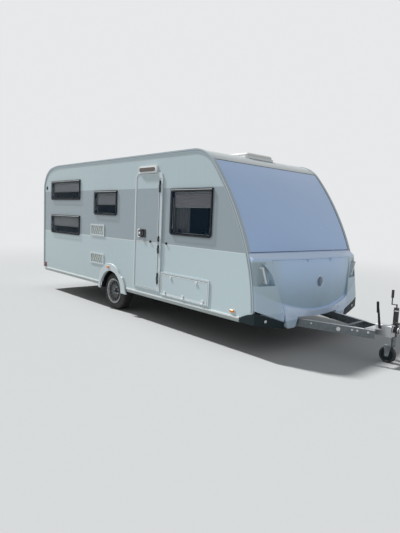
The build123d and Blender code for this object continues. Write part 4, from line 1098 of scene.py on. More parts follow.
NODE_FINISHES = {
    "side_paint": ["side_wall_right", "side_wall_left", "service_flap", "cassette_flap", "door_upper",
                   "door_lower"],
    "front_gelcoat": ["front_wall"],
    "rear_gelcoat": ["rear_wall"],
    "roof_gelcoat": ["roof"],
    "cabin_floor": ["floor"],
    "edge_aluminium": ["corner_profiles"],
    "skirt_aluminium": ["side_skirts"],
    "white_gloss": ["grab_handles", "rear_panel"],
    "frame_moulding": ["door_frame", "fridge_vents", "flap_borders", "wheel_arch_trims"],
    "locker_moulding": ["gas_locker_housing", "gas_locker_lid"],
    "black_moulding": ["window_frames", "wheel_boxes", "handbrake_lever"],
    "grey_moulding": ["front_corner_covers", "door_hinges"],
    "handle_dish": ["door_handle"],
    "lamp_housing": ["lamps"],
    "black_enamel": ["jockey_tube"],
    "galvanised_zinc": ["chassis_rails", "drawbar", "cross_members", "axle", "jockey_inner", "jockey_fork",
                        "steady_front_right", "steady_front_left", "steady_rear_right",
                        "steady_rear_left", "steady_brackets"],
    "cast_silver": ["overrun_device", "coupling_head"],
    "wheel_paint": ["rim_right", "rim_left"],
    "soft_rubber": ["jockey_wheel"],
    "tinted_acrylic": ["window_panes"],
    "hatch_acrylic": ["roof_fittings"],
    "cabinet_laminate": ["kitchen_unit", "furniture"],
}


def merged(*meshes):
    """One mesh from several."""
    return mesh_of(joined(meshes))


def smoothed(node):
    """A copy of a CAD node with its points joined, to be shaded smooth."""
    bm = bmesh.new()
    bm.from_mesh(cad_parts[node].data)
    bmesh.ops.remove_doubles(bm, verts=bm.verts, dist=2e-5)
    bmesh.ops.dissolve_degenerate(bm, edges=bm.edges, dist=1e-5)
    mesh = mesh_of(bm)
    if "custom_normal" in mesh.attributes:
        mesh.attributes.remove(mesh.attributes["custom_normal"])
    return mesh


def twins(mesh):
    """A mesh together with its mirror image across the middle of the caravan."""
    other = mesh.copy()
    other.transform(MIRROR)
    return merged(mesh, other)


def repeated(mesh, count, step):
    """A mesh repeated along a straight row."""
    values = {"Count": count, "Step": step, "Material": material("soft_rubber")}
    return tree(row_tree).grow(mesh, values)


def about_axle(mesh, count, centre):
    """A mesh, drawn about the origin, repeated about an axle through a centre."""
    values = {"Count": count, "Centre": centre, "Material": material("soft_rubber")}
    return tree(wheel_tree).grow(mesh, values)


def ring(low, high, width, radius, along, start, stop):
    """A rectangular ring with round corners, as wide inwards as width."""
    inner_radius = max(radius - width, 0.002)
    hole = rounded((low[0] + width, low[1] + width), (high[0] - width, high[1] - width), inner_radius)
    return plate(rounded(low, high, radius), along, start, stop, hole)


def sided(side, near, far):
    """Two distances from the middle as limits on one side of the caravan."""
    return sorted((side * near, side * far))


def bored(node, axis_x, axis_z):
    """Least and greatest distance of a node's points from an axle."""
    reach = [math.hypot(v.co.x - axis_x, v.co.z - axis_z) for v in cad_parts[node].data.vertices]
    return min(reach), max(reach)


class Colours(bpy.types.PropertyGroup):
    """Paint colours of the body."""

    side: FloatVectorProperty(name="Side", description="Paint of the side walls", subtype="COLOR",
                              size=3, min=0, max=1, default=(0.455, 0.555, 0.585))
    band: FloatVectorProperty(name="Band", description="Grey band along the side", subtype="COLOR",
                              size=3, min=0, max=1, default=(0.30, 0.365, 0.40))
    # The front's blue is painted: shade and the sky's reflection on a white panel.
    front: FloatVectorProperty(name="Front", description="Moulded front panel", subtype="COLOR",
                               size=3, min=0, max=1, default=(0.395, 0.575, 0.89))
    # The locker's blue is painted: shade and the sky's reflection on a white moulding.
    locker: FloatVectorProperty(name="Locker", description="Front moulding and its lid", subtype="COLOR",
                                size=3, min=0, max=1, default=(0.485, 0.66, 0.91))


class Fittings(bpy.types.PropertyGroup):
    """Sizes of what is repeated or drawn on the body."""

    tread_blocks: IntProperty(name="Tread blocks", description="Blocks round one row of the tyre",
                              default=66, min=40, max=90)
    tread_depth: FloatProperty(name="Tread depth", description="Height of a tread block",
                               subtype="DISTANCE", unit="LENGTH", default=0.0075)
    wheel_bolts: IntProperty(name="Wheel bolts", description="Bolts of each wheel", default=5, min=4, max=6)
    bolt_circle: FloatProperty(name="Bolt circle", description="Diameter of the circle of wheel bolts",
                               subtype="DISTANCE", unit="LENGTH", default=0.112)
    # The blinds stand in for the sky's reflection in the panes.
    blind_share: FloatProperty(name="Blind", description="Share of each window that its blind covers",
                               subtype="FACTOR", default=0.46, min=0.1, max=0.9)
    pleat: FloatProperty(name="Pleat", description="Height of one pleat of a blind",
                         subtype="DISTANCE", unit="LENGTH", default=0.020)
    screw_pitch: FloatProperty(name="Screw pitch", description="Distance between the screws of a trim",
                               subtype="DISTANCE", unit="LENGTH", default=0.24)


class Stage(bpy.types.PropertyGroup):
    """Camera and light."""

    place: FloatVectorProperty(name="Camera", description="Place of the camera", subtype="TRANSLATION",
                               unit="LENGTH", size=3, default=(5.765, -5.166, 1.642))
    heading: FloatProperty(name="Heading", description="Direction of view, from +Y towards -X",
                           subtype="ANGLE", unit="ROTATION", default=math.radians(47.692))
    tilt: FloatProperty(name="Tilt", description="Rise of the direction of view", subtype="ANGLE",
                        unit="ROTATION", default=math.radians(-6.243))
    roll: FloatProperty(name="Roll", description="Turn of the camera about its own axis", subtype="ANGLE",
                        unit="ROTATION", default=math.radians(2.476))
    lens: FloatProperty(name="Lens", description="Focal length in millimetres on a 36 mm picture",
                        default=30.4, min=10, max=200)
    sky: FloatProperty(name="Sky", description="Strength of the even light", default=0.42, min=0)
    sun: FloatProperty(name="Sun", description="Strength of the soft sun", default=4.6, min=0)
    sun_from: FloatVectorProperty(name="Sun from", description="Direction in which the sun stands",
                                  subtype="DIRECTION", size=3, default=(-0.62, -0.16, 0.768))
    backdrop: FloatVectorProperty(name="Backdrop", description="Colour behind the caravan", subtype="COLOR",
                                  size=3, min=0, max=1, default=(0.80, 0.81, 0.82))


class Caravan(bpy.types.PropertyGroup):
    """Everything that the panel shows."""

    colours: PointerProperty(type=Colours)
    fittings: PointerProperty(type=Fittings)
    stage: PointerProperty(type=Stage)


class CARAVAN_OT_finishes(bpy.types.Operator):
    """Give every sub-part of the frame its finish"""

    bl_idname = "caravan.finishes"
    bl_label = "Finishes"

    def execute(self, context):
        for finish_name, nodes in NODE_FINISHES.items():
            for node in nodes:
                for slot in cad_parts[node].material_slots:
                    slot.material = material(finish_name)
        return {"FINISHED"}


def tyre_mesh(fittings):
    """A road tyre about the origin: carcass with moulded rings, ribs and tread blocks."""
    base = TYRE_RADIUS - fittings.tread_depth
    w = TYRE_WIDE / 2
    bead = bored("tyre_right", AXLE_X, AXLE_Z)[0]
    out = [(bead, w - 0.012), (bead + 0.006, w - 0.006), (bead + 0.012, w - 0.0025),
           (bead + 0.016, w - 0.006), (bead + 0.030, w - 0.0015), (bead + 0.045, w - 0.0003),
           (bead + 0.060, w - 0.0012), (bead + 0.062, w - 0.0002), (bead + 0.066, w - 0.0002),
           (bead + 0.068, w - 0.0016), (bead + 0.080, w - 0.0045), (bead + 0.092, w - 0.0085),
           (base - 0.011, w - 0.0150), (base - 0.004, w - 0.0230), (base - 0.0008, w - 0.0350),
           (base, w - 0.060)]
    inside = [(base - 0.009, w - 0.060), (base - 0.014, w - 0.026), (base - 0.030, w - 0.014),
              (bead + 0.045, w - 0.008), (bead + 0.010, w - 0.015), (bead, w - 0.021)]
    loop = out + [(r, -y) for r, y in reversed(out)] + [(r, -y) for r, y in reversed(inside)] + inside
    parts = [turned(loop, 120)]
    count = fittings.tread_blocks
    length = math.tau * TYRE_RADIUS / count * 0.80
    crown = TYRE_RADIUS - 0.0004
    rows = ((0.046, 0.064, 0.35, 0.5), (0.024, 0.042, 0.25, 0.0),
            (-0.042, -0.024, 0.25, 0.5), (-0.064, -0.046, 0.35, 0.0))
    for y0, y1, skew, phase in rows:
        shift = phase * math.tau * TYRE_RADIUS / count
        block = plate([(y0, -length / 2), (y1, -length / 2), (y1, length / 2), (y0, length / 2)], 2,
                      base - 0.002, crown)
        for vertex in block.vertices:
            y, x = vertex.co.x, vertex.co.y
            drop = max(0.0, abs(y) - 0.052) * 0.35
            ahead = x + skew * y + shift
            vertex.co = (ahead, y, math.sqrt(vertex.co.z ** 2 - ahead ** 2) - drop)
        parts.append(about_axle(merged(block), count, (0, 0, 0)))
    lug = plate([(w - 0.0225, base - 0.010), (w - 0.0150, base - 0.020), (w - 0.0118, base - 0.0185),
                 (w - 0.0190, base + 0.0035), (w - 0.0250, base + 0.0050)], 0, -length * 0.3, length * 0.3)
    parts.append(about_axle(twins(lug), count, (0, 0, 0)))
    for y0, y1 in ((-0.0195, -0.0085), (-0.0055, 0.0055), (0.0085, 0.0195)):
        top = TYRE_RADIUS - 0.0006
        rib = [(base - 0.002, y0), (top, y0 + 0.0008), (top, y1 - 0.0008), (base - 0.002, y1)]
        parts.append(turned(rib, 120))
    return plain_mesh(joined(parts))


class CARAVAN_OT_tyres(bpy.types.Operator):
    """Road tyres with sidewall rings and tread"""

    bl_idname = "caravan.tyres"
    bl_label = "Tyres"

    def execute(self, context):
        for name, side in (("right", -1), ("left", 1)):
            mesh = tyre_mesh(settings().fittings)
            mesh.transform(Matrix.Translation((AXLE_X, side * WHEEL_Y, AXLE_Z)))
            tyre = piece("road_tyre_" + name, mesh, "wheel_" + name, "tyre_rubber", smooth=30)
            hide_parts("tyre_" + name)
        return {"FINISHED"}


def around(radius, count, y, phase=0.0):
    """Points round the axle of a road wheel."""
    turn = math.tau / count
    return [(AXLE_X + radius * math.sin(turn * i + phase), y, AXLE_Z + radius * math.cos(turn * i + phase))
            for i in range(count)]


class CARAVAN_OT_wheel_details(bpy.types.Operator):
    """Bolts, hub cap, valve and balance weight of each wheel"""

    bl_idname = "caravan.wheel_details"
    bl_label = "Wheel details"

    def execute(self, context):
        fittings = settings().fittings
        seat = -(WHEEL_Y + 0.042)
        for name, side in (("right", -1), ("left", 1)):
            body = "wheel_" + name
            circle = around(fittings.bolt_circle / 2, fittings.wheel_bolts, seat)
            collar = [(0.0, 0.0), (0.0148, 0.0), (0.0148, -0.0015), (0.0118, -0.005), (0.0, -0.005)]
            bolts = [turned(collar, 24, centre=place) for place in circle]
            bolts.append(heads([(x, y - 0.004, z) for x, y, z in circle], RIGHTWARD, 0.0098, 0.011, 6))
            cap = [(0.0, -0.0125), (0.0336, -0.0125), (0.0350, 0.0), (0.0385, 0.0), (0.0385, -0.004),
                   (0.0372, -0.0150), (0.0330, -0.0205), (0.0200, -0.0225), (0.0175, -0.0215), (0.0, -0.0215)]
            cap = turned(cap, 48, centre=(AXLE_X, seat, AXLE_Z))
            valve_foot = Vector(around(0.181, 1, -(WHEEL_Y + 0.069), 0.6)[0])
            valve_tip = Vector(around(0.172, 1, -(WHEEL_Y + 0.0905), 0.6)[0])
            valve = merged(tube([valve_foot, valve_foot.lerp(valve_tip, 0.6)], 0.0048, 12),
                           tube([valve_foot.lerp(valve_tip, 0.55), valve_tip], 0.0036, 10))
            weight = [(AXLE_X + 0.1945 * math.sin(a), -(WHEEL_Y + 0.0935), AXLE_Z + 0.1945 * math.cos(a))
                      for a in (3.7, 3.78, 3.86, 3.94, 4.02)]
            steel = merged(*bolts, tube(weight, 0.0042, 8))
            made = ((steel, "wheel_bolts_", "bright_steel"), (cap, "hub_cap_", "grey_moulding"),
                    (valve, "valve_", "soft_rubber"))
            for mesh, title, look in made:
                if side > 0:
                    mesh.transform(MIRROR)
                    mesh = merged(mesh)
                piece(title + name, mesh, body, look)
        return {"FINISHED"}


def window_boxes():
    """Side, low and high corner of each window pane."""
    return [(math.copysign(1, lo.y), lo, hi) for lo, hi in islands("window_panes")]


class CARAVAN_OT_window_trim(bpy.types.Operator):
    """Borders, rail strips, inner frames, catches and stays of the windows"""

    bl_idname = "caravan.window_trim"
    bl_label = "Window trim"

    def execute(self, context):
        borders, strips, liners, catches, stays = [], [], [], [], []
        for side, lo, hi in window_boxes():
            face, back = max(abs(lo.y), abs(hi.y)), min(abs(lo.y), abs(hi.y))
            low, high = (lo.x + 0.0055, lo.z + 0.0055), (hi.x - 0.0055, hi.z - 0.0015)
            borders.append(ring(low, high, 0.017, 0.048, 1, *sided(side, face - 0.0008, face + 0.0006)))
            rail_z = hi.z + 0.0065
            ys = sided(side, face - 0.0005, face + 0.0012)
            strips.append(slab((lo.x + 0.012, ys[0], rail_z - 0.0035),
                               (hi.x - 0.012, ys[1], rail_z + 0.0035)))
            low, high = (lo.x + 0.012, lo.z + 0.012), (hi.x - 0.012, hi.z + 0.004)
            liners.append(ring(low, high, 0.026, 0.050, 1, *sided(side, LINING - 0.012, LINING)))
            ys = sided(side, LINING - 0.030, LINING - 0.013)
            liners.append(slab((lo.x + 0.040, ys[0], hi.z - 0.050), (hi.x - 0.040, ys[1], hi.z - 0.020)))
            ys = sided(side, LINING + 0.006, back)
            for share in (0.22, 0.78):
                x = lo.x + (hi.x - lo.x) * share
                catches.append(slab((x - 0.022, ys[0], lo.z + 0.046), (x + 0.022, ys[1], lo.z + 0.060)))
                catches.append(slab((x - 0.006, ys[0], lo.z + 0.056), (x + 0.006, ys[1], lo.z + 0.088)))
            for x in (lo.x + 0.043, hi.x - 0.043):
                y = side * (back - 0.012)
                stays.append(tube([(x, y, lo.z + 0.10), (x, y, hi.z - 0.10)], 0.0055, 12))
                stays.append(tube([(x, y, lo.z + 0.085), (x, y, lo.z + 0.13)], 0.0085, 12))
        piece("window_borders", merged(*borders), "caravan", "black_moulding")
        piece("window_rail_strips", merged(*strips), "caravan", "white_gloss", 0.0006)
        piece("window_liners", merged(*liners), "caravan", "white_gloss", 0.002)
        piece("window_catches", merged(*catches), "caravan", "black_moulding", 0.0015)
        piece("window_stays", merged(*stays), "caravan", "satin_aluminium")
        return {"FINISHED"}


class CARAVAN_OT_blinds(bpy.types.Operator):
    """Pleated blinds, half drawn behind every window, standing in for the sky's reflection in the upper part
    of each pane
    """

    bl_idname = "caravan.blinds"
    bl_label = "Blinds"

    def execute(self, context):
        fittings = settings().fittings
        bars = []
        # The pale blinds are a painted reflection: they give each pane the pale upper part that the sky's
        # reflection gives.
        for number, (side, lo, hi) in enumerate(window_boxes(), 1):
            top = hi.z - 0.045
            tall = top - lo.z > 0.45
            share = fittings.blind_share * (0.65 if tall else 1.0)
            pleats = max(4, round((top - lo.z) * share / fittings.pleat))
            drop = pleats * fittings.pleat
            x0, x1 = lo.x + 0.048, hi.x - 0.048
            depth = 0.009
            y = side * (LINING - 0.006)
            bm = bmesh.new()
            rows = []
            for row in range(2 * pleats + 1):
                z = -drop * row / (2 * pleats)
                rows.append([bm.verts.new((x, 0, z)) for x in (0, (x1 - x0) / 2, x1 - x0)])
            for a, b in zip(rows, rows[1:]):
                for i in range(2):
                    bm.faces.new((a[i], b[i], b[i + 1], a[i + 1]))
            values = {"Pleats": pleats, "Drop": drop, "Depth": side * depth,
                      "Material": material("blind_cloth")}
            folded = tree(pleat_tree).grow(plain_mesh(bm), values)
            folded.transform(Matrix.Translation((x0, y, top)))
            blind = piece(f"blind_{number}", folded, "caravan", "blind_cloth", smooth=10)
            ys = sided(side, LINING - 0.008, LINING + 0.006)
            bars.append(slab((x0, ys[0], top - drop - 0.012), (x1, ys[1], top - drop)))
        piece("blind_bars", merged(*bars), "caravan", "white_gloss", 0.002)
        return {"FINISHED"}


def curtain_mesh(start, reach, y, top, foot, folds=6, columns=96, rows=14):
    """A curtain drawn from one end of its rail, with folds that open towards its foot."""
    bm = bmesh.new()
    grid = []
    for j in range(rows + 1):
        down = j / rows
        swing = 0.007 + 0.006 * down
        line = []
        for i in range(columns + 1):
            u = i / columns
            x = start + reach * (u + 0.012 * math.sin(9 * u + 3 * down))
            fold = swing * math.sin(math.tau * folds * u + 0.5 * math.sin(2.2 * down + 4 * u))
            line.append(bm.verts.new((x, y + fold, top + (foot - top) * down)))
        grid.append(line)
    for a, b in zip(grid, grid[1:]):
        for i in range(columns):
            bm.faces.new((a[i], b[i], b[i + 1], a[i + 1]))
    return mesh_of(bm)


class CARAVAN_OT_curtains(bpy.types.Operator):
    """Gathered side curtains of the two front windows and the dinette window"""

    bl_idname = "caravan.curtains"
    bl_label = "Curtains"

    def execute(self, context):
        number = 0
        rails = []
        for side, lo, hi in window_boxes():
            if lo.z > 1.5 or lo.z < 1.3:
                continue
            rail = (lo.x - 0.03, hi.x + 0.03)
            y = side * (LINING - 0.045)
            rails.append(tube([(rail[0], y, hi.z + 0.010), (rail[1], y, hi.z + 0.010)], 0.006, 10))
            top, foot = hi.z + 0.004, lo.z - 0.035
            hung = ((lo.x - 0.02, 0.36), (hi.x + 0.02, -0.20))
            for start, reach in hung if side > 0 else hung[:1]:
                number += 1
                name = f"curtain_{number}"
                mesh = curtain_mesh(start, reach, y, top, foot)
                area = sum(p.area for p in mesh.polygons)
                flat = (area / (top - foot), top - foot)
                curtain = piece(name, mesh, "caravan", "curtain_cloth", smooth=80)
        piece("curtain_rails", merged(*rails), "caravan", "satin_aluminium")
        return {"FINISHED"}


def doorway(inset, z0, z1, radius=0.070):
    """Outline of the doorway, drawn in by an inset, with a round head."""
    x0, x1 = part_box("door_upper")[0].x - 0.005 + inset, DOOR_EDGE_X - inset
    points = [(x0, z0), (x1, z0)]
    bend = max(radius - inset, 0.005)
    for centre, start in (((x1 - bend, z1 - bend), 0), ((x0 + bend, z1 - bend), 90)):
        for i in range(9):
            a = math.radians(start + 90 * i / 8)
            points.append((centre[0] + bend * math.cos(a), centre[1] + bend * math.sin(a)))
    return points


class CARAVAN_OT_door_parts(bpy.types.Operator):
    """Seals, edge trims, retainers, lock and inner panels of the split door"""

    bl_idname = "caravan.door_parts"
    bl_label = "Door parts"

    def execute(self, context):
        lower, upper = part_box("door_lower"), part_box("door_upper")
        sill, head = lower[0].z - 0.005, upper[1].z + 0.005
        hole = doorway(0.0028, sill + 0.0024, head - 0.0024)
        seal = plate(doorway(0.0004, sill, head), 1, LEAF_INNER - 0.006, LEAF_INNER + 0.004, hole)
        piece("door_seal", seal, "caravan", "soft_rubber")
        for body, box in (("lower_door", lower), ("upper_door", upper)):
            x0, x1 = box[0].x, DOOR_EDGE_X - 0.005
            z0, z1 = box[0].z, box[1].z
            bend = 0.065 if body == "upper_door" else 0.004
            rim = doorway(0.0055, z0 + 0.0005, z1 - 0.0005, bend + 0.0055)
            hole = doorway(0.0135, z0 + 0.0085, z1 - 0.0085, bend + 0.0055)
            edge = plate(rim, 1, LEAF_FACE - 0.0008, LEAF_FACE + 0.0005, hole)
            piece(body + "_edging", edge, body, "white_gloss")
            low, high = (x0 + 0.045, z0 + 0.05), (x1 - 0.045, z1 - 0.06)
            panel = ring(low, high, 0.030, 0.045, 1, LEAF_INNER - 0.0005, LEAF_INNER + 0.0065)
            piece(body + "_panel_rim", panel, body, "white_gloss", 0.002)
        bin_face = LEAF_INNER + 0.059
        bin_body = plate(rounded((0.00, 0.62), (0.30, 0.93), 0.03), 1, LEAF_INNER, bin_face)
        lid = plate(rounded((0.006, 0.86), (0.294, 0.924), 0.02), 1, bin_face - 0.0005, bin_face + 0.004)
        piece("door_bin", merged(bin_body, lid), "lower_door", "cabinet_front", 0.006)
        stop = [(0.0, 0.0), (0.019, 0.0), (0.019, -0.004), (0.0145, -0.010), (0.0145, -0.018), (0.0, -0.018)]
        door_stop = turned(stop, 32, centre=(0.249, LEAF_FACE, SEAM_Z + 0.0155))
        wall_stop = turned(stop, 32, centre=(0.622, -HALF, SEAM_Z + 0.012))
        piece("door_retainer", door_stop, "upper_door", "black_moulding")
        piece("wall_retainer", wall_stop, "caravan", "black_moulding")
        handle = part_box("door_handle")
        lock = (handle[0].x + 0.036, handle[0].y + 0.034, (handle[0].z + handle[1].z) / 2)
        barrel = [(0, 0), (0.0125, 0), (0.0125, -0.004), (0.0105, -0.006), (0, -0.006)]
        barrel = turned(barrel, 32, centre=lock)
        rose = [(0, 0.001), (0.0225, 0.001), (0.0225, -0.0022), (0.0205, -0.0034), (0, -0.0034)]
        rose = turned(rose, 36, centre=lock)
        piece("lock_rose", rose, "upper_door", "white_gloss")
        key = slab((lock[0] - 0.0012, lock[1] - 0.0072, lock[2] - 0.006),
                   (lock[0] + 0.0012, lock[1] - 0.0055, lock[2] + 0.006))
        piece("door_lock", merged(barrel, key), "upper_door", "bright_steel")
        ends = [(lo.x + 0.0135, lo.y + 0.009, z) for lo, hi in islands("door_hinges") for z in (lo.z, hi.z)]
        cap = [(0, -0.001), (0.0085, -0.001), (0.0085, 0.001), (0.006, 0.003), (0, 0.003)]
        pins = [turned(cap, 24, 2, end) for end in ends]
        piece("hinge_caps", merged(*pins), "caravan", "grey_moulding")
        return {"FINISHED"}


class CARAVAN_OT_flap_parts(bpy.types.Operator):
    """Latches of the service flap, a lock on the cassette flap and the seals of both"""

    bl_idname = "caravan.flap_parts"
    bl_label = "Flap parts"

    def execute(self, context):
        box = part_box("service_flap")
        z, face = 0.759, -HALF - 0.020
        latches = []
        collar = [(0.0175, 0.0005), (0.0215, 0.0005), (0.0215, -0.0018), (0.0175, -0.0018)]
        for x in (0.764, 1.315):
            latches.append(turned(collar, 32, centre=(x, face, z)))
            latches.append(slab((x - 0.0145, face - 0.0042, z - 0.0042),
                                (x + 0.0145, face + 0.0005, z + 0.0042)))
        piece("service_latches", merged(*latches), "service_hatch", "white_gloss", 0.0008)
        low, high = (box[0].x + 0.004, box[0].z + 0.004), (box[1].x - 0.004, box[1].z - 0.004)
        edge = ring(low, high, 0.009, 0.012, 1, -HALF - 0.0116, -HALF - 0.0095)
        rail = slab((box[0].x + 0.02, -HALF - 0.0122, box[0].z + 0.016),
                    (box[1].x - 0.02, -HALF - 0.0095, box[0].z + 0.025))
        edging = merged(edge, rail)
        piece("service_flap_edging", edging, "service_hatch", "white_gloss", 0.0006)
        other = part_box("cassette_flap")
        place = (other[0].x + 0.045, HALF + 0.010, (other[0].z + other[1].z) / 2)
        lock = [(0, -0.001), (0.021, -0.001), (0.021, 0.004), (0.016, 0.007), (0, 0.007)]
        lock = turned(lock, 32, centre=place)
        bar = slab((place[0] - 0.003, place[1] + 0.006, place[2] - 0.013),
                   (place[0] + 0.003, place[1] + 0.011, place[2] + 0.013))
        piece("cassette_lock", merged(lock, bar), "cassette_hatch", "grey_moulding")
        seals = []
        for lo, hi in islands("flap_borders"):
            low, high = (lo.x + 0.0262, lo.z + 0.0262), (hi.x - 0.0262, hi.z - 0.0262)
            ys = sided(math.copysign(1, lo.y), LINING + 0.002, LINING + 0.010)
            seals.append(ring(low, high, 0.0022, 0.0078, 1, *ys))
        piece("flap_seals", merged(*seals), "caravan", "soft_rubber")
        return {"FINISHED"}


class CARAVAN_OT_vent_parts(bpy.types.Operator):
    """Insect mesh, corner screws and slide knobs of the refrigerator vents"""

    bl_idname = "caravan.vent_parts"
    bl_label = "Vent parts"

    def execute(self, context):
        bars, knobs, screws = [], [], []
        y, wire = -HALF + 0.0045, 0.0012
        uprights, levels = 66, 24
        for lo, hi in islands("fridge_vents"):
            x0, x1, z0, z1 = lo.x + 0.031, hi.x - 0.031, lo.z + 0.027, hi.z - 0.027
            bars.append(slab((x0, y + 0.0004, z0), (x1, y + 0.0016, z1)))
            upright = slab((x0, y - wire / 2, z0), (x0 + wire, y, z1))
            bars.append(repeated(upright, uprights, ((x1 - x0 - wire) / (uprights - 1), 0, 0)))
            level = slab((x0, y - wire, z0), (x1, y - wire / 2, z0 + wire))
            bars.append(repeated(level, levels, (0, 0, (z1 - z0 - wire) / (levels - 1))))
            for x in (x0 + 0.03, x1 - 0.03):
                knobs.append(turned([(0, 0), (0.011, 0), (0.010, -0.003), (0, -0.003)], 24,
                                    centre=(x, lo.y, hi.z - 0.013)))
            screws += [(x, lo.y + 0.0005, z)
                       for x in (lo.x + 0.012, hi.x - 0.012) for z in (lo.z + 0.012, hi.z - 0.012)]
        piece("vent_mesh", merged(*bars), "caravan", "vent_liner")
        piece("vent_knobs", merged(*knobs), "caravan", "white_gloss")
        screws = heads(screws, RIGHTWARD, 0.004, 0.0016)
        piece("vent_screws", screws, "caravan", "bright_steel")
        return {"FINISHED"}


class CARAVAN_OT_rear_parts(bpy.types.Operator):
    """Blank plate, plate lamps and triangular reflectors of the rear panel"""

    bl_idname = "caravan.rear_parts"
    bl_label = "Rear parts"

    def execute(self, context):
        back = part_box("rear_panel")[0].x
        face, plate_z = back + 0.008, 0.58
        outline = rounded((-0.252, plate_z - 0.052), (0.252, plate_z + 0.052), 0.008)
        blank = plate(outline, 0, face - 0.0025, face + 0.0003)
        low, high = (-0.257, plate_z - 0.0565), (0.257, plate_z + 0.0565)
        rim = ring(low, high, 0.006, 0.009, 0, face - 0.004, face + 0.0003)
        piece("plate_sheet", blank, "caravan", "blank_plate")
        piece("plate_holder", rim, "caravan", "black_moulding", 0.0008)
        lamps, glasses = [], []
        for y in (-0.33, 0.33):
            lamp = rounded((y - 0.034, plate_z - 0.040), (y + 0.034, plate_z + 0.040), 0.010)
            glass = rounded((y - 0.024, plate_z - 0.032), (y + 0.024, plate_z + 0.032), 0.008)
            lamps.append(plate(lamp, 0, back - 0.0016, back + 0.0005))
            glasses.append(plate(glass, 0, back - 0.0018, back - 0.0014))
        piece("plate_lamps", merged(*lamps), "caravan", "black_moulding", 0.0006)
        piece("plate_lamp_glasses", merged(*glasses), "caravan", "clear_lens")
        red = []
        reach, middle_z = 0.078, 0.585
        for y in (-0.62, 0.62):
            corners = [(y + reach * math.sin(math.tau * i / 3), middle_z + reach * math.cos(math.tau * i / 3))
                       for i in range(3)]
            red.append(plate(corners, 0, back - 0.0018, back + 0.0004))
        piece("triangle_reflectors", merged(*red), "caravan", "red_lens", 0.0005)
        return {"FINISHED"}


def outline_points(y, lift):
    """Points over the caravan from the foot of its front panel to its rear wall, lifted off the skin."""
    up_front = [1.252 + 0.0869 * i for i in range(14)]
    over_roof = (1.40, 1.25, 1.05, 0.85, 0.4, -0.4, -1.4, -2.2,
                 -2.6, -2.8, -3.0, -3.15, -3.3, -3.42, -3.50, -3.56)
    down_rear = (1.98, 1.7, 1.2, 0.8, 0.47)
    found = [hit("front_wall", (AHEAD, y, z), BACKWARD) for z in up_front]
    found += [hit("roof", (x, y, ABOVE), DOWN) for x in over_roof]
    found += [hit("rear_wall", (BEHIND, y, z), FORWARD) for z in down_rear]
    return [place + normal * lift for place, normal in found]


def domed(node, start, heading, radius):
    """A low domed cap on the first face of a node that a line meets."""
    cap = turned([(0, -0.001), (radius, -0.001), (radius, 0.003), (radius * 0.86, 0.0055),
                  (radius * 0.5, 0.0065), (0, 0.0065)], 36, 2)
    return stood(cap, *hit(node, start, heading))


class CARAVAN_OT_body_trim(bpy.types.Operator):
    """Sealant beads, joint strips, rail inserts, caps, rear side lamps and screws of the body"""

    bl_idname = "caravan.body_trim"
    bl_label = "Body trim"

    def execute(self, context):
        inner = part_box("corner_profiles")[1].y - 0.049
        bead = tube(outline_points(-inner + 0.0015, 0.0006), 0.0030, 8)
        reach = Vector((0, inner - 0.003, 0))
        joints = (("front_wall", (AHEAD, 0, 1.2465), BACKWARD), ("front_wall", (AHEAD, 0, 2.3935), BACKWARD),
                  ("rear_wall", (BEHIND, 0, 2.0265), FORWARD))
        places = [hit(*joint)[0] for joint in joints]
        strips = [tube([place - reach, place + reach], 0.0042, 8) for place in places]
        beads = merged(twins(bead), *strips)
        piece("sealant_beads", beads, "caravan", "soft_rubber", smooth=60)
        inserts, screws = [], []
        pitch = settings().fittings.screw_pitch
        for lo, hi in islands("side_skirts"):
            side = math.copysign(1, lo.y)
            ys = sided(side, HALF + 0.0128, HALF + 0.0145)
            inserts.append(slab((lo.x + 0.004, ys[0], hi.z - 0.0175), (hi.x - 0.004, ys[1], hi.z - 0.0075)))
            if side < 0:
                count = int((hi.x - lo.x - 0.1) / pitch)
                screws += [(lo.x + 0.05 + i * pitch, ys[1] - 0.0012, hi.z - 0.0025) for i in range(count + 1)]
        piece("rail_inserts", merged(*inserts), "caravan", "white_gloss", 0.0006)
        row = heads(screws, RIGHTWARD, 0.0019, 0.001)
        piece("rail_screws", twins(row), "caravan", "bright_steel")
        lo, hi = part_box("wheel_arch_trims")
        middle, radius = (lo.x + hi.x) / 2 - 0.046, 0.386
        arch = [(middle + radius * math.cos(a), lo.y + 0.0004, lo.z + radius * math.sin(a))
                for a in map(math.radians, (25, 60, 95, 130, 158))]
        caps = twins(domed("front_corner_covers", (AHEAD, -1.0, 0.43), BACKWARD, 0.019))
        piece("corner_discs", caps, "caravan", "satin_aluminium")
        cap = domed("side_wall_right", (-3.49, BESIDE, 2.11), LEFTWARD, 0.038)
        piece("wall_cap", cap, "caravan", "black_moulding")
        lamp = plate(rounded((-3.585, 0.470), (-3.515, 0.545), 0.012), 1, -HALF - 0.020, -HALF - 0.001)
        base = plate(rounded((-3.592, 0.463), (-3.508, 0.552), 0.016), 1, -HALF - 0.006, -HALF + 0.001)
        piece("rear_side_lamps", twins(lamp), "caravan", "red_lens", 0.003)
        piece("rear_side_lamp_bases", twins(base), "caravan", "black_moulding", 0.001)
        arch = twins(heads(arch, RIGHTWARD, 0.0062, 0.0024))
        piece("arch_screws", arch, "caravan", "frame_moulding")
        return {"FINISHED"}


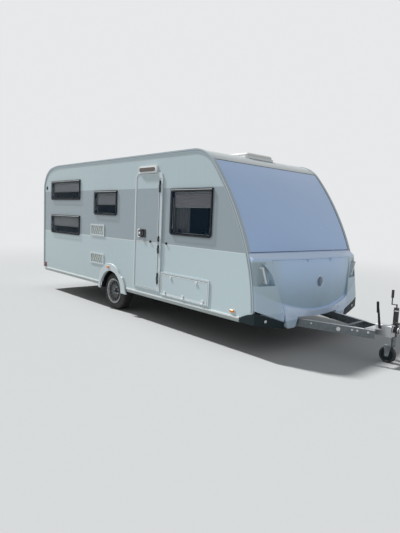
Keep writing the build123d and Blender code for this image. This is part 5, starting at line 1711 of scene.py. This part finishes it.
class CARAVAN_OT_leg_shells(bpy.types.Operator):
    """Moulded shells over the two legs between the front moulding and the drawbar"""

    bl_idname = "caravan.leg_shells"
    bl_label = "Leg shells"

    def execute(self, context):
        edges = (-0.72, -0.44)
        tops = [hit("gas_locker_lid", (2.45, y, 0.1), UP)[0].z - 0.008 for y in edges]
        outline = [(edges[0], tops[0]), (-0.655, 0.345), (-0.63, 0.31), (-0.495, 0.31), (-0.475, 0.335),
                   (edges[1], tops[1])]
        shell = plate(outline, 0, 2.430, 2.465)
        piece("leg_shells", twins(shell), "caravan", "locker_moulding", 0.006)
        return {"FINISHED"}


class CARAVAN_OT_locker_parts(bpy.types.Operator):
    """Smooth skin, top strip, plain cap and locks of the locker lid"""

    bl_idname = "caravan.locker_parts"
    bl_label = "Locker parts"

    def execute(self, context):
        middle = hit("gas_locker_lid", (AHEAD, 0, 0.865), BACKWARD)
        rim = turned([(0.0, 0.0), (0.073, 0.0), (0.073, 0.003), (0.071, 0.0055), (0.0685, 0.0055),
                      (0.067, 0.0035), (0.0, 0.0035)], 64, 2)
        rim = stood(rim, *middle)
        cap = turned([(0.0, 0.0030), (0.0668, 0.0030), (0.0645, 0.0046), (0.0, 0.0060)], 64, 2)
        cap = stood(cap, *middle)
        locks = []
        for y in (-0.45, 0.45):
            lock = turned([(0, -0.001), (0.017, -0.001), (0.017, 0.003), (0.014, 0.005), (0.006, 0.005),
                           (0.006, 0.0025), (0, 0.0025)], 32, 2)
            locks.append(stood(lock, *hit("gas_locker_lid", (AHEAD, y, 0.497), BACKWARD)))
        skin = smoothed("gas_locker_lid")
        skin = piece("lid_skin", skin, "locker_lid", "locker_moulding")
        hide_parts("gas_locker_lid")
        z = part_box("gas_locker_lid")[1].z - 0.0032
        strips = []
        for start, stop, steps in ((-0.880, -0.296, 12), (-0.224, 0.224, 9), (0.296, 0.880, 12)):
            ys = [start + (stop - start) * i / steps for i in range(steps + 1)]
            met = [hit("gas_locker_housing", (AHEAD, y, z + 0.004), BACKWARD)[0] for y in ys]
            path = [(place.x - 0.0030, y, z) for place, y in zip(met, ys)]
            strips.append(tube(path, 0.0016, 10))
        piece("lid_seam_strip", merged(*strips), "caravan", "locker_moulding")
        piece("lid_cap_rim", rim, "locker_lid", "bright_steel")
        piece("lid_cap", cap, "locker_lid", "blue_enamel")
        piece("lid_locks", merged(*locks), "locker_lid", "locker_moulding")
        return {"FINISHED"}


class CARAVAN_OT_drawbar_parts(bpy.types.Operator):
    """Bolts and eyes of the drawbar, and bolts, gaiter clips and grip of the hitch"""

    bl_idname = "caravan.drawbar_parts"
    bl_label = "Drawbar parts"

    def execute(self, context):
        bolts = []
        for x in (1.50, 1.62, 1.74, 2.28, 2.42, 2.62, 3.10, 3.16, 3.28):
            place, normal = hit("drawbar", (x, BESIDE, 0.378), LEFTWARD)
            bolts.append(heads([place - normal * 0.001], normal, 0.0105, 0.009, 6))
            bolts.append(heads([place - normal * 0.001], normal, 0.0145, 0.0025, 24))
        eye = turned([(0.0, -0.001), (0.027, -0.001), (0.027, 0.005), (0.022, 0.009), (0.012, 0.009),
                      (0.012, 0.004), (0.0, 0.004)], 36, 2)
        eye = stood(eye, *hit("drawbar", (2.945, BESIDE, 0.362), LEFTWARD))
        piece("drawbar_bolts", twins(merged(*bolts, eye)), "caravan", "bright_steel")
        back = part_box("overrun_device")[0].x
        deck_z, gaiter_z = 0.4215, 0.435
        deck = [(back + x, y, deck_z) for x in (0.03, 0.10) for y in (-0.155, -0.095, 0.095, 0.155)]
        clip = [(0.0385, -0.004), (0.0415, -0.004), (0.0415, 0.004), (0.0385, 0.004)]
        clips = [turned(clip, 40, 0, (x, 0, gaiter_z)) for x in (GAITER_X[0] + 0.0035, GAITER_X[1] - 0.007)]
        hitch = merged(heads(deck, UP, 0.010, 0.008, 6), *clips)
        piece("hitch_bolts", hitch, "caravan", "bright_steel")
        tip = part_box("coupling_head")[1]
        cover = slab((tip.x - 0.1585, -0.0165, tip.z - 0.0155), (tip.x - 0.105, 0.0165, tip.z - 0.0005))
        piece("coupling_grip", cover, "caravan", "soft_rubber", 0.004)
        return {"FINISHED"}


class CARAVAN_OT_jockey_parts(bpy.types.Operator):
    """Grip, clamp screw, wheel sides and fork nuts of the jockey wheel"""

    bl_idname = "caravan.jockey_parts"
    bl_label = "Jockey wheel parts"

    def execute(self, context):
        lo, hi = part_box("jockey_tube")
        wheel_lo, wheel_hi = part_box("jockey_wheel")
        x, y = 3.465, (wheel_lo.y + wheel_hi.y) / 2
        grip_x = lo.x + 0.015
        ribs = [(0.0135, 0.0)]
        for i in range(9):
            ribs += [(0.0158, 0.004 + i * 0.0095), (0.0150, 0.0085 + i * 0.0095)]
        ribs += [(0.0158, 0.091), (0.0125, 0.0948), (0.0, 0.0948)]
        sleeve = turned([(0.0, 0.0)] + ribs, 28, 2, (grip_x, y, hi.z - 0.095))
        piece("crank_grip", sleeve, "caravan", "soft_rubber")
        z, collar_z = 0.448, 0.645
        screw = tube([(x, y + 0.040, z), (x, y + 0.082, z)], 0.0062, 14)
        bar = tube([(x - 0.045, y + 0.080, z), (x + 0.045, y + 0.080, z)], 0.0055, 12)
        knob = [(0, -0.006), (0.009, -0.006), (0.010, 0.0), (0.009, 0.006), (0, 0.006)]
        knobs = [turned(knob, 20, 0, (x + s * 0.047, y + 0.080, z)) for s in (-1, 1)]
        collar = [(0.0300, -0.006), (0.0345, -0.006), (0.0345, 0.006), (0.0300, 0.006)]
        collar = turned(collar, 40, 2, (x, y, collar_z))
        clamp = merged(screw, bar, *knobs, collar)
        piece("clamp_screw", clamp, "caravan", "bright_steel")
        hub = (wheel_lo.x + wheel_hi.x) / 2, y, (wheel_lo.z + wheel_hi.z) / 2
        side = turned([(0.0122, 0.0195), (0.026, 0.0275), (0.030, 0.0275), (0.036, 0.0212), (0.068, 0.0212),
                       (0.0705, 0.0235), (0.0735, 0.0235), (0.0735, 0.0195)], 48)
        rib = slab((0.034, 0.0195, -0.004), (0.069, 0.0245, 0.004))
        spokes = about_axle(rib, 6, (0, 0, 0))
        dish = twins(merged(side, spokes))
        dish.transform(Matrix.Translation(hub))
        piece("jockey_hub", dish, "jockey_roller", "grey_moulding")
        nuts = [heads([(hub[0], y - 0.038, hub[2])], RIGHTWARD, 0.0085, 0.0065, 6),
                heads([(hub[0], y + 0.038, hub[2])], LEFTWARD, 0.0085, 0.0065, 6)]
        piece("jockey_nuts", merged(*nuts), "jockey_yoke", "bright_steel")
        return {"FINISHED"}


class CARAVAN_OT_steady_parts(bpy.types.Operator):
    """Drive nuts and bracket bolts of the corner steadies"""

    bl_idname = "caravan.steady_parts"
    bl_label = "Steady parts"

    def execute(self, context):
        bolts, nuts = [], []
        for lo, hi in islands("steady_brackets"):
            x, y = (lo.x + hi.x) / 2, (lo.y + hi.y) / 2
            outward = -1 if x < 0 else 1
            for dx in (-0.048, 0.048):
                for dy in (-0.030, 0.030):
                    bolts.append((x + dx, y + dy, hi.z - 0.0045))
            spindle = tube([(x + outward * 0.032, y, 0.440), (x + outward * 0.115, y, 0.446)], 0.008, 12)
            nut = heads([(x + outward * 0.112, y, 0.446)], (outward, 0, 0), 0.0115, 0.016, 6)
            nuts += [spindle, nut]
        piece("steady_nuts", merged(*nuts), "caravan", "bright_steel")
        bolts = heads(bolts, DOWN, 0.0085, 0.006, 6)
        piece("steady_bolts", bolts, "caravan", "bright_steel")
        return {"FINISHED"}


class CARAVAN_OT_lamp_parts(bpy.types.Operator):
    """Lens ribs of the side markers and rims of the rear lamps"""

    bl_idname = "caravan.lamp_parts"
    bl_label = "Lamp parts"

    def execute(self, context):
        ribs = []
        for lo, hi in MARKERS:
            side = math.copysign(1, lo.y)
            face = max(abs(lo.y), abs(hi.y))
            ys = sided(side, face - 0.0006, face - 0.00002)
            middle = (lo + hi) / 2
            rib = slab((middle.x - 0.026, ys[0], middle.z - 0.0105),
                       (middle.x - 0.0245, ys[1], middle.z + 0.0105))
            ribs.append(repeated(rib, 13, (0.0042, 0, 0)))
        piece("marker_ribs", merged(*ribs), "caravan", "amber_lens")
        rims = []
        rim = [(0.0302, 0.0), (0.0345, 0.0), (0.0345, -0.0035), (0.0302, -0.0055)]
        for lo, hi in CLUSTERS:
            middle = (lo + hi) / 2
            for z in (-0.068, 0.0, 0.068):
                rims.append(turned(rim, 40, 0, (STERN - 0.028, middle.y, middle.z + z)))
        piece("rear_lamp_rims", merged(*rims), "caravan", "black_moulding")
        return {"FINISHED"}


class CARAVAN_OT_roof_parts(bpy.types.Operator):
    """Kerbs and screws of the roof lights"""

    bl_idname = "caravan.roof_parts"
    bl_label = "Roof parts"

    def execute(self, context):
        flanges, screws = [], []
        for lo, hi in islands("roof_fittings"):
            low, high = (lo.x - 0.022, lo.y - 0.022), (hi.x + 0.022, hi.y + 0.022)
            flanges.append(ring(low, high, 0.030, 0.055, 2, ROOF_TOP - 0.029, ROOF_TOP + 0.006))
            middle = ((lo.x + hi.x) / 2, (lo.y + hi.y) / 2)
            for x in (lo.x - 0.011, middle[0], hi.x + 0.011):
                for y in (lo.y - 0.011, middle[1], hi.y + 0.011):
                    if (x, y) != middle:
                        screws.append((x, y, ROOF_TOP + 0.0055))
        piece("roof_flanges", merged(*flanges), "caravan", "white_gloss", 0.002)
        screws = heads(screws, UP, 0.0045, 0.002)
        piece("roof_screws", screws, "caravan", "bright_steel")
        return {"FINISHED"}


class CARAVAN_OT_interior(bpy.types.Operator):
    """Cupboard fronts, handles, worktop, sink, tap and hob inside the cabin"""

    bl_idname = "caravan.interior"
    bl_label = "Interior"

    def execute(self, context):
        lo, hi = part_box("kitchen_unit")
        fronts, pulls = [], []
        face = hi.y
        wide = (hi.x - lo.x - 0.02) / 3
        for i in range(3):
            x = lo.x + 0.01 + i * wide
            for z0, z1 in ((lo.z + 0.08, lo.z + 0.56), (lo.z + 0.575, hi.z - 0.045)):
                fronts.append(slab((x + 0.004, face, z0), (x + wide - 0.004, face + 0.016, z1)))
                middle, y, z = x + wide / 2, face + 0.030, z1 - 0.035
                pulls.append(tube([(middle - 0.06, y, z), (middle + 0.06, y, z)], 0.005))
                for post in (middle - 0.05, middle + 0.05):
                    pulls.append(tube([(post, face + 0.014, z), (post, y, z)], 0.004))
        piece("kitchen_fronts", merged(*fronts), "caravan", "cabinet_front", 0.003)
        piece("kitchen_pulls", merged(*pulls), "caravan", "bright_steel")
        top = hi.z
        worktop = slab((lo.x - 0.006, lo.y + 0.001, top), (hi.x + 0.006, hi.y + 0.018, top + 0.004))
        piece("worktop_sheet", worktop, "caravan", "grey_moulding", 0.0015)
        bowl_centre = (lo.x + 0.30, (lo.y + hi.y) / 2 + 0.02, top)
        bowl = turned([(0.150, 0.004), (0.185, 0.004), (0.187, 0.0075), (0.176, 0.0095), (0.165, 0.0075),
                       (0.150, 0.0045)], 48, 2, bowl_centre)
        drain = [(0, 0.0042), (0.150, 0.0042), (0.150, 0.0048), (0.02, 0.0044), (0, 0.0044)]
        drain = turned(drain, 48, 2, bowl_centre)
        bend = ((0.09, 0.0), (0.09, 0.13), (0.11, 0.155), (0.20, 0.15), (0.215, 0.13))
        tap = tube([(bowl_centre[0], lo.y + y, top + z) for y, z in bend], 0.010, 14)
        burner = [(0.030, 0.004), (0.052, 0.004), (0.048, 0.016), (0.030, 0.018)]
        burners = [turned(burner, 32, 2, (hi.x - x, lo.y + y, top))
                   for x, y in ((0.20, 0.17), (0.42, 0.17), (0.31, 0.40))]
        fitted = merged(bowl, drain, tap, *burners)
        piece("sink_and_hob", fitted, "caravan", "bright_steel")
        return {"FINISHED"}


def swollen(mesh, cap, frames=20, pressure=4.0):
    """A cushion mesh blown up by simulation, with how far a point may move capped."""
    scene = bpy.context.scene
    pad = bpy.data.objects.new("pad", mesh)
    scene.collection.objects.link(pad)
    start = [v.co.copy() for v in mesh.vertices]
    sim = pad.modifiers.new("sim", "CLOTH")
    sim.settings.use_pressure = True
    sim.settings.uniform_pressure_force = pressure
    sim.settings.effector_weights.gravity = 0.0
    sim.settings.quality = 5
    for number in range(1, frames + 1):
        scene.frame_set(number)
    graph = bpy.context.evaluated_depsgraph_get()
    blown = bpy.data.meshes.new_from_object(pad.evaluated_get(graph))
    scene.frame_set(1)
    bpy.data.objects.remove(pad)
    for vertex, before in zip(blown.vertices, start):
        shift = vertex.co - before
        if shift.length > cap:
            vertex.co = before + shift.normalized() * cap
    return blown


def remeshed(mesh, voxel):
    """A mesh rebuilt from even voxels."""
    host = bpy.data.objects.new("remesh", mesh)
    bpy.context.scene.collection.objects.link(host)
    modifier = host.modifiers.new("voxels", "REMESH")
    modifier.mode = "VOXEL"
    modifier.voxel_size = voxel
    graph = bpy.context.evaluated_depsgraph_get()
    made = bpy.data.meshes.new_from_object(host.evaluated_get(graph))
    bpy.data.objects.remove(host)
    return made


class CARAVAN_OT_cushions(bpy.types.Operator):
    """Foam cushions of the bed, the bunks and the seats, with piped edges"""

    bl_idname = "caravan.cushions"
    bl_label = "Cushions"

    def execute(self, context):
        for number, (lo, hi) in enumerate(islands("cushions"), 1):
            margin = 0.008
            low, high = lo + Vector((margin, margin, 0.0015)), hi - Vector((margin, margin, margin))
            base = plate(rounded((low.x, low.y), (high.x, high.y), 0.05), 2, low.z, high.z)
            pad = remeshed(base, 0.022)
            pad = swollen(pad, 0.012)
            crown = hi + Vector((0, 0, 0.006))
            for vertex in pad.vertices:
                for axis in range(3):
                    vertex.co[axis] = min(max(vertex.co[axis], lo[axis]), crown[axis])
            name = f"cushion_{number}"
            cushion = piece(name, pad, "caravan", "cushion_cloth", smooth=180)
            smoothing = cushion.modifiers.new("softened", "SUBSURF")
            smoothing.levels = smoothing.render_levels = 1
            loop = rounded((low.x - 0.004, low.y - 0.004), (high.x + 0.004, high.y + 0.004), 0.054)
            cords = []
            for z in (low.z + 0.010, high.z - 0.010):
                cords.append(tube([(x, y, z) for x, y in loop + loop[:1]], 0.0035, 6))
            name = f"cushion_piping_{number}"
            piece(name, merged(*cords), "caravan", "cushion_cloth", smooth=80)
        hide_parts("cushions")
        return {"FINISHED"}


class CARAVAN_OT_stage(bpy.types.Operator):
    """Floor, backdrop light, sun and camera"""

    bl_idname = "caravan.stage"
    bl_label = "Stage"

    def execute(self, context):
        look = settings().stage
        scene = context.scene
        scene.view_settings.view_transform = "Standard"
        tone = rgb(*look.backdrop)
        world = bpy.data.worlds.new("studio")
        world.use_nodes = True
        world.node_tree.nodes.clear()
        w = Nodes(world.node_tree)
        behind = w.add("ShaderNodeBackground", sockets={"Color": tone, "Strength": 1.0})
        light = w.add("ShaderNodeBackground", sockets={"Color": rgb(0.96, 0.98, 1.0), "Strength": look.sky})
        both = w.add("ShaderNodeMixShader", sockets={0: w.backdrop_rays(), 1: light, 2: behind})
        w.add("ShaderNodeOutputWorld", sockets={"Surface": both})
        scene.world = world
        self.floor(context, tone)
        self.lamp(context, look)
        self.camera(context, look)
        return {"FINISHED"}

    def floor(self, context, tone):
        """A pale disc of floor that fades into the backdrop."""
        bm = bmesh.new()
        bmesh.ops.create_circle(bm, cap_ends=True, segments=96, radius=60.0)
        mesh = plain_mesh(bm)
        ground = bpy.data.materials.new("pale_floor")
        ground.use_nodes = True
        s = Shader(ground.node_tree)
        far = s.add("ShaderNodeVectorMath", {"operation": "LENGTH"}, {0: s.place}, 1)
        fade = s.rise(far, 6.0, 17.0)
        matte = s.add("ShaderNodeBsdfDiffuse", sockets={"Color": rgb(0.45, 0.46, 0.46)})
        glow = s.add("ShaderNodeEmission", sockets={"Color": tone, "Strength": 1.0})
        mixed = s.add("ShaderNodeMixShader", sockets={0: fade * s.backdrop_rays(), 1: matte, 2: glow})
        s.add("ShaderNodeOutputMaterial", sockets={"Surface": mixed})
        mesh.materials.append(ground)
        made = bpy.data.objects.new("studio_floor", mesh)
        context.scene.collection.objects.link(made)

    def lamp(self, context, look):
        """The soft sun, high behind the right rear corner."""
        light = bpy.data.lights.new("sun", "SUN")
        light.energy = look.sun
        light.angle = math.radians(4)
        made = bpy.data.objects.new("sun", light)
        made.rotation_euler = Vector(look.sun_from).to_track_quat("Z", "Y").to_euler()
        context.scene.collection.objects.link(made)

    def camera(self, context, look):
        """The camera at the photograph's viewing angle."""
        level = math.cos(look.tilt)
        east, north = -math.sin(look.heading) * level, math.cos(look.heading) * level
        forward = Vector((east, north, math.sin(look.tilt)))
        right = forward.cross(Vector(UP)).normalized()
        up = right.cross(forward)
        turned_right = math.cos(look.roll) * right + math.sin(look.roll) * up
        turned_up = math.cos(look.roll) * up - math.sin(look.roll) * right
        data = bpy.data.cameras.new("camera")
        data.lens = look.lens
        data.sensor_width = 36.0
        made = bpy.data.objects.new("camera", data)
        turn = Matrix((turned_right, turned_up, -forward)).transposed().to_4x4()
        made.matrix_world = Matrix.Translation(look.place) @ turn
        context.scene.collection.objects.link(made)
        context.scene.camera = made


PIECES = (
    CARAVAN_OT_finishes, CARAVAN_OT_tyres, CARAVAN_OT_wheel_details, CARAVAN_OT_window_trim,
    CARAVAN_OT_blinds, CARAVAN_OT_curtains, CARAVAN_OT_door_parts, CARAVAN_OT_flap_parts,
    CARAVAN_OT_vent_parts, CARAVAN_OT_lamp_parts, CARAVAN_OT_rear_parts, CARAVAN_OT_body_trim,
    CARAVAN_OT_leg_shells, CARAVAN_OT_locker_parts, CARAVAN_OT_drawbar_parts, CARAVAN_OT_jockey_parts,
    CARAVAN_OT_steady_parts, CARAVAN_OT_roof_parts, CARAVAN_OT_interior, CARAVAN_OT_cushions,
    CARAVAN_OT_stage,
)


class CARAVAN_PT_panel(bpy.types.Panel):
    """Lists the sizes, the colours and the pieces"""

    bl_idname = "CARAVAN_PT_panel"
    bl_label = "Caravan"
    bl_space_type = "VIEW_3D"
    bl_region_type = "UI"
    bl_category = "Caravan"

    def draw(self, context):
        for group in (settings().colours, settings().fittings, settings().stage):
            box = self.layout.box()
            for name in group.__annotations__:
                box.prop(group, name)
        for operator in PIECES:
            self.layout.operator(operator.bl_idname)


CLASSES = (Colours, Fittings, Stage, Caravan, *PIECES, CARAVAN_PT_panel)


def register():
    """Make the classes known and hang the settings on the scene."""
    for known in CLASSES:
        bpy.utils.register_class(known)
    bpy.types.Scene.caravan = PointerProperty(type=Caravan)


def unregister():
    """Take the settings and the classes away again."""
    del bpy.types.Scene.caravan
    for known in reversed(CLASSES):
        bpy.utils.unregister_class(known)


def main():
    """Build every piece in order."""
    register()
    for operator in PIECES:
        group, name = operator.bl_idname.split(".")
        getattr(getattr(bpy.ops, group), name)()


if __name__ == "__main__":
    main()
